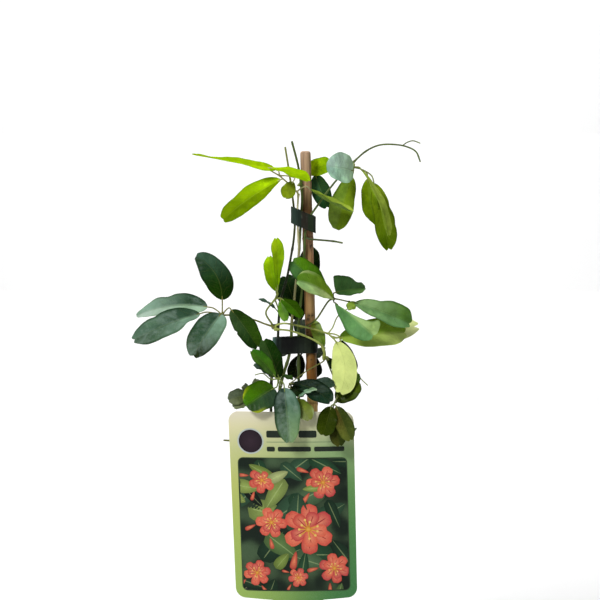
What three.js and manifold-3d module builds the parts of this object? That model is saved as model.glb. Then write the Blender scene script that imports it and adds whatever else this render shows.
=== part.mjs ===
// A young potted climbing vine: thin stems tied to a bamboo cane by two plastic bands, stalked
// leaves of five notched leaflets, a picture label on a spike, and a plain round nursery pot of
// soil. Millimetres, +Z up, origin at the centre of the pot's flat base, front towards -Y.
import * as THREE from 'three';
import { mergeVertices } from 'three/addons/utils/BufferGeometryUtils.js';
import Module from 'manifold-3d';

const wasm = await Module();
wasm.setup();

// ---------------------------------------------------------------- driving dimensions
const GAP = 0.35;                 // clearance between separate pieces that touch in life

const POT = { height: 130, baseRadius: 50, rimRadius: 69, wall: 1.8, floor: 2.4, lip: 13,
              lipStep: 2.2, holes: 8, holeRing: 37, holeRadius: 4.5 };
const SOIL = { top: 119, lump: 1.6 };
const CANE = { radius: 4.8, foot: [18.5, 0, 14], top: [3, 0, 558.5], knots: [0.13, 0.38, 0.585, 0.86] };
const LABEL = { width: 107, spread: 0.7, height: 168.5, thick: 0.8, corner: 9, bottom: 166, spikeWidth: 42,
                spikeFoot: 76, foot: [-3.2, -50.5], lean: 5.6, tilt: 1.75, bow: 4.5 };
const BAND = { height: 15, wall: 1.1, sides: 12 };
const BLADE = 0.75;               // leaflet thickness, square to the blade
const STALK = { petiole: 0.75, petiolule: 0.6 };
const COLOURS = { pot: 0x26282b, soil: 0x3a2a1e, cane: 0xa98a60, band: 0x1d2a24, label: 0xc9d19a,
                  stem: 0x5c6b2a, shoot: 0x7f8c3a, dark: 0x2c5230, fresh: 0x6fa818, lit: 0xa9c24a };

// ---------------------------------------------------------------- solids
function toSolid(geometry) {
  const bare = geometry.clone();
  bare.deleteAttribute('normal');
  bare.deleteAttribute('uv');
  const merged = mergeVertices(bare, 1e-4);
  const mesh = new wasm.Mesh({
    numProp: 3,
    vertProperties: new Float32Array(merged.attributes.position.array),
    triVerts: new Uint32Array(merged.index.array),
  });
  return new wasm.Manifold(mesh);
}

function toGeometry(solid) {
  const mesh = solid.getMesh();
  const geometry = new THREE.BufferGeometry();
  geometry.setAttribute('position', new THREE.BufferAttribute(mesh.vertProperties, 3));
  geometry.setIndex(new THREE.BufferAttribute(mesh.triVerts, 1));
  geometry.computeVertexNormals();
  return geometry;
}

// One solid of several that meet. Blades that cross can cut off crumbs, which are dropped.
function fuse(geometries) {
  const crumb = 0.05;
  const solid = geometries.map(toSolid).reduce((sum, next) => sum.add(next));
  return wasm.Manifold.compose(solid.decompose().filter((body) => body.volume() > crumb));
}

function piece(name, geometry, color, roughness = 0.6) {
  const mesh = new THREE.Mesh(geometry, new THREE.MeshStandardMaterial({ color, roughness, metalness: 0 }));
  mesh.name = name;
  return mesh;
}

const vec = (p) => new THREE.Vector3(...p);

// A tube along a smooth route that narrows evenly from its first point to its last.
function tube(route, startRadius, endRadius, steps, sides = 6) {
  const curve = new THREE.CatmullRomCurve3(route.map(vec), false, 'centripetal');
  const section = new THREE.Shape();
  section.absarc(0, 0, startRadius, 0, 2 * Math.PI);
  const ring = new THREE.Shape(section.getSpacedPoints(sides).slice(0, sides));
  const geometry = new THREE.ExtrudeGeometry(ring, { extrudePath: curve, steps, bevelEnabled: false });
  const stations = curve.getSpacedPoints(steps);
  const position = geometry.attributes.position;
  const point = new THREE.Vector3();
  for (let i = 0; i < position.count; i++) {
    point.fromBufferAttribute(position, i);
    let nearest = 0;
    stations.forEach((s, k) => {
      if (s.distanceToSquared(point) < stations[nearest].distanceToSquared(point)) nearest = k;
    });
    const radius = THREE.MathUtils.lerp(startRadius, endRadius, nearest / steps);
    point.sub(stations[nearest]).multiplyScalar(radius / startRadius).add(stations[nearest]);
    position.setXYZ(i, point.x, point.y, point.z);
  }
  return geometry;
}

// A thin closed sheet from rows of points, each a pair { upper, under }. Rows may hold different
// numbers of points. Both faces are split into triangles alike.
function sheet(rows) {
  const points = [];
  const starts = [];
  for (const row of rows) {
    starts.push(points.length);
    points.push(...row);
  }
  const upper = (j, i) => starts[j] + i;
  const under = (j, i) => points.length + starts[j] + i;
  const index = [];
  const facet = (a, b, c) => {
    index.push(upper(...a), upper(...b), upper(...c));
    index.push(under(...a), under(...c), under(...b));
  };
  const rim = (a, b) => {
    index.push(upper(...a), under(...a), under(...b));
    index.push(upper(...a), under(...b), upper(...b));
  };
  for (let j = 0; j + 1 < rows.length; j++) {
    const [near, far] = [rows[j].length - 1, rows[j + 1].length - 1];
    let [i, k] = [0, 0];
    while (i < near || k < far) {
      const stepNear = k === far || (i < near && (i + 1) * far <= (k + 1) * near);
      if (stepNear) facet([j, i], [j, i + 1], [j + 1, k]);
      else facet([j, i], [j + 1, k + 1], [j + 1, k]);
      if (stepNear) i++;
      else k++;
    }
    rim([j + 1, 0], [j, 0]);
    rim([j, near], [j + 1, far]);
  }
  const last = rows.length - 1;
  for (let i = 0; i + 1 < rows[0].length; i++) rim([0, i], [0, i + 1]);
  for (let i = 0; i + 1 < rows[last].length; i++) rim([last, i + 1], [last, i]);
  const geometry = new THREE.BufferGeometry();
  const vertices = [...points.map((p) => p.upper), ...points.map((p) => p.under)];
  const positions = vertices.flatMap((p) => p.toArray());
  geometry.setAttribute('position', new THREE.Float32BufferAttribute(positions, 3));
  geometry.setIndex(index);
  return geometry;
}

// ---------------------------------------------------------------- leaves
const LEAFLET = { point: 2.3, tipShare: 0.93, tipDrop: 0.045, notch: 0.03, stalkWidth: 1.2 };
const RIB_ROWS = [0.1, 0.3, 0.58, 0.8, 0.93];   // where the blade is cut across, as shares of its length
const PAIR = [-1, 1];
const HALVES = [-1, 0, 1];
const LOBES = [-1, -0.5, 0, 0.5, 1];

// Half width of a leaflet at s along its midrib, as a share of its greatest half width. The base is
// a straight wedge at taper 1 and round at 2, and so is the tip by its own number, point.
function leafletOutline(s, widest, taper, point) {
  if (s < widest) return (1 - ((widest - s) / widest) ** taper) ** (1 / taper);
  return (1 - (LEAFLET.tipShare * (s - widest) / (1 - widest)) ** point) ** (1 / point);
}

// How far the blade's tip falls back at c across it, as a share of its length: two rounded lobes
// beside a notch.
function tipFall(c, notch) {
  const lobe = 2 * Math.abs(c) - 1;
  return (lobe > 0 ? LEAFLET.tipDrop : notch) * Math.abs(lobe) ** 1.6;
}

// One leaflet with its stalk: from its stalk's root `hub` to the blade's base `at` and its tip `to`.
// face is the way its upper side looks, fold lifts both halves off the midrib (degrees), arch bows
// the midrib towards its upper side (mm), sway bows it sideways, and twist turns the tip about the
// midrib (degrees). widest and taper, one number or one for each half, point and notch shape the outline.
function leaflet({ hub, at, to, w, face, fold = 8, arch = 2, sway = 0, twist = 0, widest = 0.58,
                   taper = 1.6, point = LEAFLET.point, notch = LEAFLET.notch }) {
  const base = vec(at);
  const tip = vec(to);
  const along = tip.clone().sub(base);
  const length = along.length();
  const up = vec(face).projectOnPlane(along.clone().normalize()).normalize();
  const right = along.clone().normalize().cross(up);
  const bend = base.clone().lerp(tip, 0.5).addScaledVector(up, 2 * arch).addScaledVector(right, 2 * sway);
  const midrib = new THREE.QuadraticBezierCurve3(base, bend, tip);
  const lift = THREE.MathUtils.degToRad(fold);
  const half = BLADE / 2 / Math.cos(lift);
  const each = (value) => (Array.isArray(value) ? value : [value, value]);
  const halfOutline = (side, s) => leafletOutline(s, each(widest)[side], each(taper)[side], point);

  const pair = (point, normal) => ({
    upper: point.clone().addScaledVector(normal, half),
    under: point.clone().addScaledVector(normal, -half),
  });
  const bladeRow = (s, columns) => {
    const tangent = midrib.getTangent(s);
    const normal = up.clone().projectOnPlane(tangent).normalize();
    normal.applyAxisAngle(tangent, THREE.MathUtils.degToRad(twist) * s);
    const across = tangent.clone().cross(normal);
    return columns.map((c) => {
      const x = c * halfOutline(c > 0 ? 1 : 0, s) * w / 2;
      const spot = midrib.getPoint(s)
        .addScaledVector(tangent, -tipFall(c, notch) * length * s * s)
        .addScaledVector(across, x * Math.cos(lift))
        .addScaledVector(normal, Math.abs(x) * Math.sin(lift));
      return pair(spot, normal);
    });
  };
  const stalkRow = (point, direction) => {
    const normal = up.clone().projectOnPlane(direction).normalize();
    const across = direction.clone().cross(normal);
    return PAIR.map((c) => pair(point.clone().addScaledVector(across, c * LEAFLET.stalkWidth / 2), normal));
  };
  const root = vec(hub);
  return sheet([
    stalkRow(root, base.clone().sub(root).normalize()),
    stalkRow(base, midrib.getTangent(0)),
    ...RIB_ROWS.map((s) => bladeRow(s, HALVES)),
    bladeRow(1, LOBES),
  ]);
}

// A compound leaf: a petiole along route, seated on the nearest stem, and leaflets that each stand on
// a short stalk from the petiole's end, or from their own point `hub` on it.
function compoundLeaf({ name, tone, route, stalks = [], leaflets }) {
  const hub = route[route.length - 1];
  const foot = STALK.petiole * 1.15;
  const seated = seatOnStem(route, foot, name);
  const parts = [tube(seated, foot, STALK.petiole, 2 * (route.length - 1), 4)];
  for (const extra of stalks) {
    parts.push(tube(extra, STALK.petiolule, STALK.petiolule * 0.8, 2 * extra.length, 3));
  }
  for (const item of leaflets) parts.push(leaflet({ hub, ...item }));
  return piece(name, toGeometry(fuse(parts)), COLOURS[tone], 0.45);
}

const LEAVES = [
  { name: 'leaf_top', tone: 'fresh', route: [[-4.4, -14, 522.2], [-10, -18, 528], [-20, -25, 537]],
    leaflets: [
      { at: [-23, -27, 542.4], to: [-95, -50, 555.6], w: 21, face: [0, -0.5, 0.87], arch: 0, twist: 30,
        widest: 0.3, taper: 1.9 },
      { at: [-18.4, -26, 533.6], to: [-69.4, -34, 498.4], w: 22, face: [-0.3, -0.9, 0.5], arch: 4,
        widest: [0.52, 0.36], taper: [1.2, 1.7], point: 2.8, notch: 0.01 },
      { at: [-28, -30, 543.6], to: [6, -60, 532.6], w: 16, face: [0, -0.4, 0.9], arch: 3, widest: 0.68,
        taper: 1.3 },
      { at: [-8, -19, 531.6], to: [-15, -22, 517], w: 13, face: [0, -1, 0.2], widest: 0.6 },
      { hub: [-4.4, -14.4, 522.6], at: [7, -20, 525], to: [45, -27, 505], w: 15, face: [0.4, -0.2, 1],
        fold: 30, arch: -2 },
    ] },
  { name: 'leaf_top_back', tone: 'fresh', route: [[-3.4, -4.6, 528], [-2.4, 3, 529.4], [0, 10, 532]],
    leaflets: [
      { at: [2, 12, 540], to: [27, 18, 548], w: 16, face: [0, -1, 0.1], taper: 2 },
      { at: [12, 12, 537], to: [22.6, 8, 507.5], w: 17, face: [-0.1, -1, 0.2], taper: 2 },
      { at: [8, 17, 537], to: [30, 50, 541], w: 22, face: [0, -0.3, 1], arch: 4 },
    ] },
  { name: 'leaf_top_right', tone: 'fresh', route: [[46.4, -11.4, 546.6], [46, -13, 545.4],
    [45.6, -14.4, 544.2]],
    leaflets: [
      { at: [45, -15, 541], to: [21.4, -38, 545.4], w: 27, face: [0.75, -0.64, 0.1], fold: 14, arch: 3,
        taper: 2, notch: 0 },
      { at: [52, -16, 542.6], to: [76, -28, 484.4], w: 15, face: [0.86, -0.5, 0.3], fold: 14, arch: 5,
        widest: 0.74, taper: 1.5 },
      { at: [58, -11, 534], to: [67, -2, 493], w: 18, face: [-0.6, -0.8, 0.1], arch: 3, widest: 0.5 },
      { at: [64, -9, 530], to: [77.4, -9, 470.5], w: 21, face: [0.35, -0.9, 0.1], fold: 12, arch: 3,
        widest: 0.66, taper: 1.9 },
      { at: [44.4, -8, 536], to: [30.6, 6, 488.5], w: 23, face: [-0.3, -0.9, 0.1], arch: 2,
        widest: 0.6, taper: 1.9, notch: 0 },
    ] },
  { name: 'leaf_left', tone: 'dark', route: [[-25.4, -21, 402.6], [-34, -22, 406], [-43, -28, 410],
    [-63, -38, 415], [-70, -40, 415]],
    leaflets: [
      { at: [-70, -38, 428.4], to: [-93, -34, 466.6], w: 25, face: [-0.2, -0.95, 0.25], arch: 3,
        sway: 7, widest: [0.44, 0.32], taper: 1.9, point: 2, notch: 0 },
      { at: [-83, -36, 422], to: [-146, -30, 413.6], w: 24, face: [0, -0.78, 0.6], arch: 6, sway: 2,
        widest: [0.42, 0.4], taper: 1.9, point: 1.6, notch: 0 },
      { at: [-89, -45, 417], to: [-146, -64, 395.5], w: 26, face: [-0.2, -0.85, 0.5], arch: 4,
        widest: [0.7, 0.42], point: 2 },
      { at: [-70.6, -48, 417], to: [-94, -70, 382], w: 28, face: [-0.2, -0.9, 0.5], arch: 3,
        widest: 0.46, taper: 2.1 },
      { at: [-62, -42, 420], to: [-38.4, -52, 387.6], w: 20, face: [0.3, -0.9, 0.3], arch: 3,
        taper: 1.9 },
    ] },
  { name: 'leaf_middle', tone: 'fresh', route: [[-27, -19.6, 405.6], [-32, -25, 416], [-24, -28, 428]],
    leaflets: [
      { at: [-22, -27, 435], to: [-29, -23, 466], w: 15, face: [-0.6, -0.8, 0], taper: 1.9 },
      { at: [-21.6, -32, 438], to: [-22.6, -38, 483], w: 13, face: [0.5, -0.85, 0], widest: 0.8,
        taper: 1.2 },
      { at: [-19, -30, 427.6], to: [-14, -38, 409.6], w: 9, face: [-0.3, -0.8, 0.5] },
      { at: [-18, -31, 428.6], to: [-0.6, -44, 413.4], w: 13, face: [0.3, -0.8, 0.5], widest: 0.56,
        taper: 1.7 },
      { at: [-21.4, -22, 416.4], to: [-38.4, -28, 428.4], w: 7, face: [0.2, -0.35, 0.9], point: 1.6 },
    ] },
  { name: 'leaf_shaded', tone: 'dark', route: [[-9.8, -4.6, 400], [-8, 2, 403], [-3, 9, 410]],
    leaflets: [
      { at: [-2, 11, 405], to: [-15, 15, 446], w: 27, face: [0, -1, 0.1] },
      { at: [6, 12, 438], to: [8, 14, 472], w: 19, face: [0, -1, 0.1] },
      { at: [-3, 15, 409], to: [-8, 54, 414], w: 23, face: [0, -0.3, 1], arch: 3 },
      { at: [0, 14, 406], to: [4, 52, 384], w: 20, face: [0, 0.5, 0.8], arch: 3 },
    ] },
  { name: 'leaf_right_upper', tone: 'dark', route: [[0.6, -8.2, 401], [12, -21, 409], [24, -28, 427],
    [28, -30, 429]],
    leaflets: [
      { at: [28, -33, 428.6], to: [-5, -50, 446.4], w: 25, face: [0.1, -0.75, 0.65], fold: 16, arch: 4,
        widest: 0.66, taper: 1.35, point: 2.6 },
      { at: [20, -27, 433], to: [-9, -22, 462], w: 22, face: [0.1, -0.95, 0.3], arch: 3, taper: 1.9 },
      { at: [29.6, -28, 434], to: [56, -22, 437.4], w: 30, face: [0, -0.75, 0.65], fold: 36, arch: 1,
        widest: [0.06, 0.5], taper: 2, point: 1.5, notch: 0 },
      { at: [46, -30, 425], to: [95.4, -36, 406.6], w: 26, face: [0.1, -0.8, 0.6], fold: 20, arch: 3,
        widest: [0.8, 0.62], point: 2.6 },
      { at: [29, -33, 425.4], to: [63, -46, 397], w: 27, face: [0.1, -0.9, 0.4], arch: 3, twist: 20,
        widest: [0.86, 0.55], taper: [0.55, 1.25], point: 2.8 },
      { hub: [40.6, -30, 426.2], at: [42, -29.6, 426.2], to: [44, -28.6, 419], w: 10,
        face: [0.2, -0.9, 0.3], widest: 0.3 },
    ] },
  { name: 'leaf_right_middle', tone: 'lit', route: [[-23.4, -20, 403.6], [-17, -22, 406],
    [-2, -24, 404], [11, -24, 401], [23, -22, 397]],
    stalks: [
      [[23, -22, 397], [34, -13, 385], [47, -9, 365], [52, -10, 356], [59, -11, 349]],
      [[23, -22, 397], [27, -21, 402], [31, -20, 411], [36, -19, 416], [43, -18, 420], [49, -18, 424]],
    ],
    leaflets: [
      { at: [33, -18, 393], to: [93, -14, 397], w: 30, face: [0, -0.8, 0.6], arch: 2 },
      { at: [38, -8, 393], to: [105.4, 2, 401], w: 24, face: [0, -0.9, 0.4], arch: 2, notch: 0.07 },
      { at: [30, -28, 390], to: [33, -40, 346], w: 23, face: [-0.1, 1, 0], arch: 3, sway: 6.4,
        taper: 1.9 },
      { at: [34, -21, 391], to: [44, -17, 358], w: 17, face: [0.1, -1, 0.1], arch: 2 },
    ] },
  { name: 'leaf_olive', tone: 'fresh', route: [[20.2, -21.6, 384], [20, -19, 384]],
    leaflets: [
      { at: [19.6, -17, 384.4], to: [11, -15, 407.6], w: 11.5, face: [-0.3, -0.9, 0.1], widest: 0.5 },
    ] },
  { name: 'leaf_small_dark', tone: 'dark', route: [[22.6, -21.8, 376], [23.4, -19.6, 373.4]],
    leaflets: [
      { at: [23.4, -18, 375], to: [29, -13, 365], w: 7, face: [0, -1, 0.2] },
    ] },
  { name: 'leaf_front_right', tone: 'dark', route: [[20.4, -18.4, 376.4], [26, -10, 362],
    [31, -14, 350], [31, -36, 343], [30, -58, 344], [27, -75, 341]],
    leaflets: [
      { at: [25, -77, 340], to: [18, -84, 316], w: 17, face: [0, -1, 0.15], taper: 1.9 },
      { at: [29.4, -77, 340], to: [41.6, -84, 311.6], w: 15.4, face: [0, -1, 0.15], taper: 1.9 },
      { at: [27, -75, 335], to: [32.4, -80, 306], w: 15, face: [0, -1, 0.15], taper: 1.9 },
      { hub: [31, -36, 343], at: [30.8, -33, 337.6], to: [50, -26, 354.4], w: 20,
        face: [0.1, -0.8, 0.5], arch: 2, taper: 1.9 },
      { hub: [31.2, -36.7, 343.2], at: [37, -27, 343], to: [49.4, -24, 362], w: 12,
        face: [0.4, -0.85, 0.1] },
    ] },
  { name: 'leaf_front_left', tone: 'dark', route: [[-19, -15.6, 350], [-20, -35, 354], [-21, -61, 362]],
    stalks: [
      [[-21, -61, 362], [-27, -59, 361], [-34, -58, 366], [-41, -57, 364.6]],
    ],
    leaflets: [
      { at: [-24, -64, 354], to: [-48, -75, 339.8], w: 27.6, face: [-0.25, -0.93, 0.3], fold: 3,
        arch: 2, widest: 0.48, taper: 2.4, point: 2.5, notch: 0 },
      { at: [-15.4, -69, 355], to: [-11, -83, 309.4], w: 23, face: [0.1, -0.95, 0.2], arch: 3,
        widest: 0.45, taper: 2, point: 2.1 },
      { at: [-20, -58, 361.6], to: [-33.6, -52, 395], w: 18, face: [0.3, -0.9, 0.2], taper: 1.9 },
      { at: [-23, -61, 363], to: [-44, -60, 386.4], w: 14, face: [0.45, -0.75, 0.4] },
      { at: [-27, -61, 363], to: [-42, -62, 374], w: 9, face: [0.3, -0.4, 0.8] },
      { at: [-19, -61, 362.6], to: [-8, -65, 361.4], w: 8, face: [0, -0.3, 1] },
    ] },
  { name: 'leaf_low_left', tone: 'dark', route: [[-28.6, -10.4, 348], [-36, -20, 346], [-43, -29, 345]],
    leaflets: [
      { at: [-48, -31, 343.6], to: [-65, -38, 339.4], w: 14.6, face: [-0.1, -0.9, 0.4], taper: 2 },
      { at: [-47, -30, 339.4], to: [-60.4, -40, 333.4], w: 12, face: [-0.1, -0.8, 0.5] },
      { at: [-47, -28, 345], to: [-51.6, -22, 351.4], w: 6.4, face: [-0.1, -1, 0] },
      { at: [-41.6, -28, 346], to: [-40, -24, 356.6], w: 8, face: [0.1, -1, 0] },
    ] },
  { name: 'leaf_low_middle', tone: 'dark', route: [[19.4, -22, 372.6], [4, -34, 365], [-10, -47, 356]],
    leaflets: [
      { at: [-10.4, -50, 356], to: [25, -62, 341], w: 20, face: [0.1, -0.8, 0.6], arch: 3, sway: -3,
        widest: 0.6, taper: 1.2 },
      { at: [8, -44, 354], to: [28.6, -37, 354.6], w: 11, face: [0, -0.8, 0.5] },
      { at: [-10.6, -52, 352.6], to: [2, -56, 346.6], w: 9, face: [0, -0.9, 0.3] },
      { at: [-3.6, -58, 345], to: [13, -64, 353], w: 6, face: [0, -0.5, 0.85] },
      { at: [-4.4, -62, 344], to: [6.6, -77, 328], w: 15, face: [0, -0.8, 0.5], arch: 2, widest: 0.6 },
    ] },
  { name: 'leaf_low_back', tone: 'dark', route: [[-4.4, -2.4, 366], [-4, 5, 370], [1, 12, 377]],
    leaflets: [
      { at: [-1, 13, 374], to: [-8, 18, 352], w: 16, face: [0, -1, 0.1] },
      { at: [8, 13, 375], to: [12, 16, 352], w: 15, face: [0.1, -1, 0.1] },
      { at: [4, 16, 378], to: [14, 50, 366], w: 20, face: [0, 0.2, 1], arch: 4 },
      { at: [-2, 16, 377], to: [-20, 48, 368], w: 20, face: [0, 0.2, 1], arch: 4 },
    ] },
  { name: 'leaf_back_left', tone: 'dark', route: [[-26.4, 1, 240], [-32, 12, 248], [-36, 22, 252]],
    leaflets: [
      { at: [-40, 26, 258], to: [-56, 42, 298], w: 24, face: [-0.5, 0.7, 0.4], arch: 3 },
      { at: [-38, 30, 254], to: [-44, 78, 268], w: 25, face: [0, -0.2, 1], arch: 4 },
      { at: [-34, 28, 250], to: [-16, 68, 236], w: 24, face: [0.2, 0.3, 0.9], arch: 4 },
      { at: [-38, 22, 248], to: [-56, 20, 206], w: 24, face: [-0.8, 0.3, 0.3], arch: 3 },
      { at: [-36, 28, 248], to: [-38, 60, 216], w: 24, face: [-0.2, 0.7, 0.6], arch: 3 },
    ] },
  { name: 'leaf_back_right', tone: 'dark', route: [[-1, -0.8, 282], [-1, 8, 284], [10, 20, 288],
    [24, 26, 290]],
    leaflets: [
      { at: [26, 28, 294], to: [34, 38, 310], w: 20, face: [0.4, 0.7, 0.3], arch: 3 },
      { at: [30, 30, 290], to: [44, 74, 296], w: 25, face: [0, -0.2, 1], arch: 4 },
      { at: [24, 32, 290], to: [6, 74, 290], w: 24, face: [0, 0.1, 1], arch: 4 },
      { at: [28, 26, 286], to: [44, 32, 244], w: 24, face: [0.8, 0.4, 0.3], arch: 3 },
      { at: [26, 32, 286], to: [24, 66, 254], w: 24, face: [0.1, 0.6, 0.7], arch: 3 },
    ] },
  { name: 'leaf_back_upper', tone: 'fresh', route: [[-6.6, -4.6, 449], [-8, 4, 449], [-2, 22, 447]],
    leaflets: [
      { at: [0, 26, 447], to: [2, 64, 444], w: 22, face: [0, -0.2, 1], arch: 4 },
      { at: [2, 25, 446], to: [14, 52, 437], w: 20, face: [0.1, 0.2, 1], arch: 3 },
      { at: [-2, 25, 443], to: [-6, 44, 422], w: 18, face: [0, 0.8, 0.5], arch: 3 },
    ] },
];

// ---------------------------------------------------------------- stems
// Each stem rises straight out of the soil and follows its route up through the two bands.
const STEMS = [
  { name: 'stem_main', tone: 'stem', radius: [1.9, 1], steps: 34,
    route: [[-13, -6, 84], [-13, -6, 122], [-16, -10, 189], [-19, -13, 273], [-20, -13, 318],
      [-20, -13, 345], [-16, -11, 361],
            [-12, -9, 374], [-10, -8, 385], [-9, -8, 408], [-7, -8, 426], [-4, -7, 453], [-2, -6, 479],
              [-1, -6, 498],
            [0, -6, 519], [-3, -6, 543], [-9, -6, 567]],
    shoots: [{ radius: [0.95, 0.85], steps: 14,
      route: [[-9, -8, 402], [-8.6, -11, 412], [-7, -12, 426], [-5.6, -11.6, 441], [-2.8, -11.6, 466],
        [-3.4, -13.4, 483],
              [-4, -14, 498], [-4, -14, 507], [-3.2, -13.4, 520.6]] }] },
  { name: 'stem_left', tone: 'stem', radius: [1.8, 0.85], steps: 32,
    route: [[-21, 4, 84], [-21, 4, 122], [-23, 2, 186], [-26, -4, 271], [-28, -7, 335], [-27, -9, 358],
      [-22, -11, 386], [-21, -13, 404],
            [-19, -14, 426], [-13.4, -13.4, 446], [-10, -12, 464], [-7.4, -11, 480], [-6.4, -10, 498],
              [-7.6, -9, 511], [-11, -8, 537], [-15, -6, 562]],
    shoots: [
      { radius: [1.6, 1.8], steps: 3, route: [[-21, -13, 404], [-24, -16, 403], [-26.4, -17.4, 402.6]] },
      { radius: [1, 0.8], steps: 6, route: [[-26.6, -5, 290], [-34, -12, 293], [-48, -19, 299],
        [-70, -21, 301]] },
    ] },
  { name: 'stem_right', tone: 'stem', radius: [1.8, 0.7], steps: 54,
    route: [[-4, 6, 84], [-4, 6, 122], [-4, 4, 186], [-3, -3, 271], [-3, -5, 335], [-3, -5, 385],
      [-3, -6, 403], [0, -7, 435], [2, -8, 463],
            [3, -9, 487], [5.4, -9, 497], [15, -9, 512], [30, -9, 532], [45, -9, 548], [57, -10, 558.6],
              [68, -10, 563.6], [80, -10, 564.4], [92, -10, 562.6], [101, -10, 558], [105, -10, 549]],
    shoots: [
      { radius: [0.9, 0.8], steps: 6, route: [[3, -9, 482], [6, -11, 480.6], [12, -12, 480],
        [29, -12, 478.4], [36, -12, 477]] },
      { radius: [0.6, 0.5], steps: 5, route: [[89, -10, 563.2], [93, -9, 566], [98.5, -8, 567.6],
        [105, -8, 565.4]] },
    ] },
  { name: 'shoot_middle', tone: 'shoot', radius: [0.8, 0.9], steps: 18,
    route: [[-24.4, -20.2, 400.8], [-11, -26, 400], [-1, -28, 397], [12, -27, 391], [17, -25, 387],
      [20, -23, 380], [19.6, -21.6, 376], [20, -20.4, 374]],
    shoots: [], seated: true },
];
const STATIONS = 240;             // how finely a stem is searched for the point nearest a leaf
const ROUND_SHARE = 0.94;         // a six-sided tube's mean radius as a share of its corner radius

// Axis points and radii all along the stems and their side shoots, leaving out the named stem.
function stemStations(except) {
  const lengths = STEMS.filter((item) => item.name !== except).flatMap((item) => [item, ...item.shoots]);
  return lengths.flatMap(({ route, radius }) => {
    const curve = new THREE.CatmullRomCurve3(route.map(vec), false, 'centripetal');
    const radiusAt = (k) => THREE.MathUtils.lerp(...radius, k / STATIONS);
    return curve.getSpacedPoints(STATIONS).map((point, k) => ({ point, radius: radiusAt(k) }));
  });
}

// The route with its first point moved to stand GAP clear of the nearest stem, for a tube whose
// foot has the given radius.
function seatOnStem(route, footRadius, name) {
  const start = vec(route[0]);
  const stations = stemStations(name);
  const reach = ({ point, radius }) => point.distanceTo(start) - radius;
  const nearest = stations.reduce((best, next) => (reach(next) < reach(best) ? next : best));
  const out = start.clone().sub(nearest.point).normalize();
  const lean = vec(route[1]).sub(start).normalize().dot(out);
  const tilted = footRadius * Math.sqrt(1 - lean * lean);
  start.copy(nearest.point).addScaledVector(out, nearest.radius * ROUND_SHARE + GAP + tilted);
  return [start.toArray(), ...route.slice(1)];
}

function stem({ name, tone, radius, steps, route, shoots, seated = false }) {
  const path = seated ? seatOnStem(route, radius[0], name) : route;
  const parts = [tube(path, radius[0], radius[1], steps, 6)];
  for (const side of shoots) parts.push(tube(side.route, side.radius[0], side.radius[1], side.steps, 6));
  return piece(name, toGeometry(fuse(parts)), COLOURS[tone], 0.6);
}

// ---------------------------------------------------------------- cane and bands
const caneFoot = vec(CANE.foot);
const caneTop = vec(CANE.top);
const caneAxis = caneTop.clone().sub(caneFoot);
const caneTurn = new THREE.Quaternion();
caneTurn.setFromUnitVectors(new THREE.Vector3(0, 1, 0), caneAxis.clone().normalize());

// The cane as a turned profile along +Y: straight lengths with a low swelling at each knot.
function caneProfile(radius, length) {
  const profile = [[0, 0], [radius * 0.9, 0], [radius, 1.2]];
  for (const share of CANE.knots) {
    const y = share * length;
    profile.push([radius, y - 5], [radius + 0.55, y - 1.2], [radius * 0.96, y]);
    profile.push([radius + 0.35, y + 1.2], [radius, y + 5]);
  }
  profile.push([radius, length - 2], [radius * 0.82, length - 0.4], [radius * 0.6, length], [0, length]);
  return profile.map(([x, y]) => new THREE.Vector2(x, y));
}

function placeOnCane(geometry) {
  return geometry.applyQuaternion(caneTurn).translate(...caneFoot.toArray());
}

function cane() {
  const geometry = new THREE.LatheGeometry(caneProfile(CANE.radius, caneAxis.length()), 14);
  return piece('bamboo_cane', toGeometry(toSolid(placeOnCane(geometry))), COLOURS.cane, 0.7);
}

// Where the cane and a stem's route pass height z, as a point in plan.
function canePlan(z) {
  return caneFoot.clone().lerp(caneTop, (z - caneFoot.z) / caneAxis.z);
}

function routePlan(route, z) {
  const k = route.findIndex((p) => p[2] > z);
  const low = vec(route[k - 1]);
  return low.lerp(vec(route[k]), (z - low.z) / (route[k][2] - low.z));
}

function convexHull(points) {
  const sorted = [...points].sort((a, b) => a.x - b.x || a.y - b.y);
  const turn = (o, a, b) => (a.x - o.x) * (b.y - o.y) - (a.y - o.y) * (b.x - o.x);
  const chain = (list) => {
    const line = [];
    for (const p of list) {
      while (line.length > 1 && turn(line[line.length - 2], line[line.length - 1], p) <= 1e-6) line.pop();
      line.push(p);
    }
    return line.slice(0, -1);
  };
  return [...chain(sorted), ...chain([...sorted].reverse())];
}

// A band round the cane and the stems, snug on them all over its own height. slope drops its
// right side.
function band(name, z, slope, posts) {
  const outline = (grow) => {
    const points = [];
    for (const share of [-0.55, 0, 0.55]) {
      for (const { plan, radius } of posts) {
        const centre = plan(z - slope * plan(z).x + share * BAND.height);
        const reach = (radius + grow) / Math.cos(Math.PI / BAND.sides);
        for (let k = 0; k < BAND.sides; k++) {
          const angle = 2 * Math.PI * k / BAND.sides;
          const [x, y] = [centre.x + reach * Math.cos(angle), centre.y + reach * Math.sin(angle)];
          points.push(new THREE.Vector2(x, y));
        }
      }
    }
    return convexHull(points);
  };
  const shape = new THREE.Shape(outline(GAP + BAND.wall));
  shape.holes.push(new THREE.Path(outline(GAP)));
  const geometry = new THREE.ExtrudeGeometry(shape, { depth: BAND.height, steps: 1, bevelEnabled: false });
  geometry.translate(0, 0, z - BAND.height / 2);
  const shear = new THREE.Matrix4().set(1, 0, 0, 0, 0, 1, 0, 0, -slope, 0, 1, 0, 0, 0, 0, 1);
  geometry.applyMatrix4(shear);
  return piece(name, toGeometry(toSolid(geometry)), COLOURS.band, 0.5);
}

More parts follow.
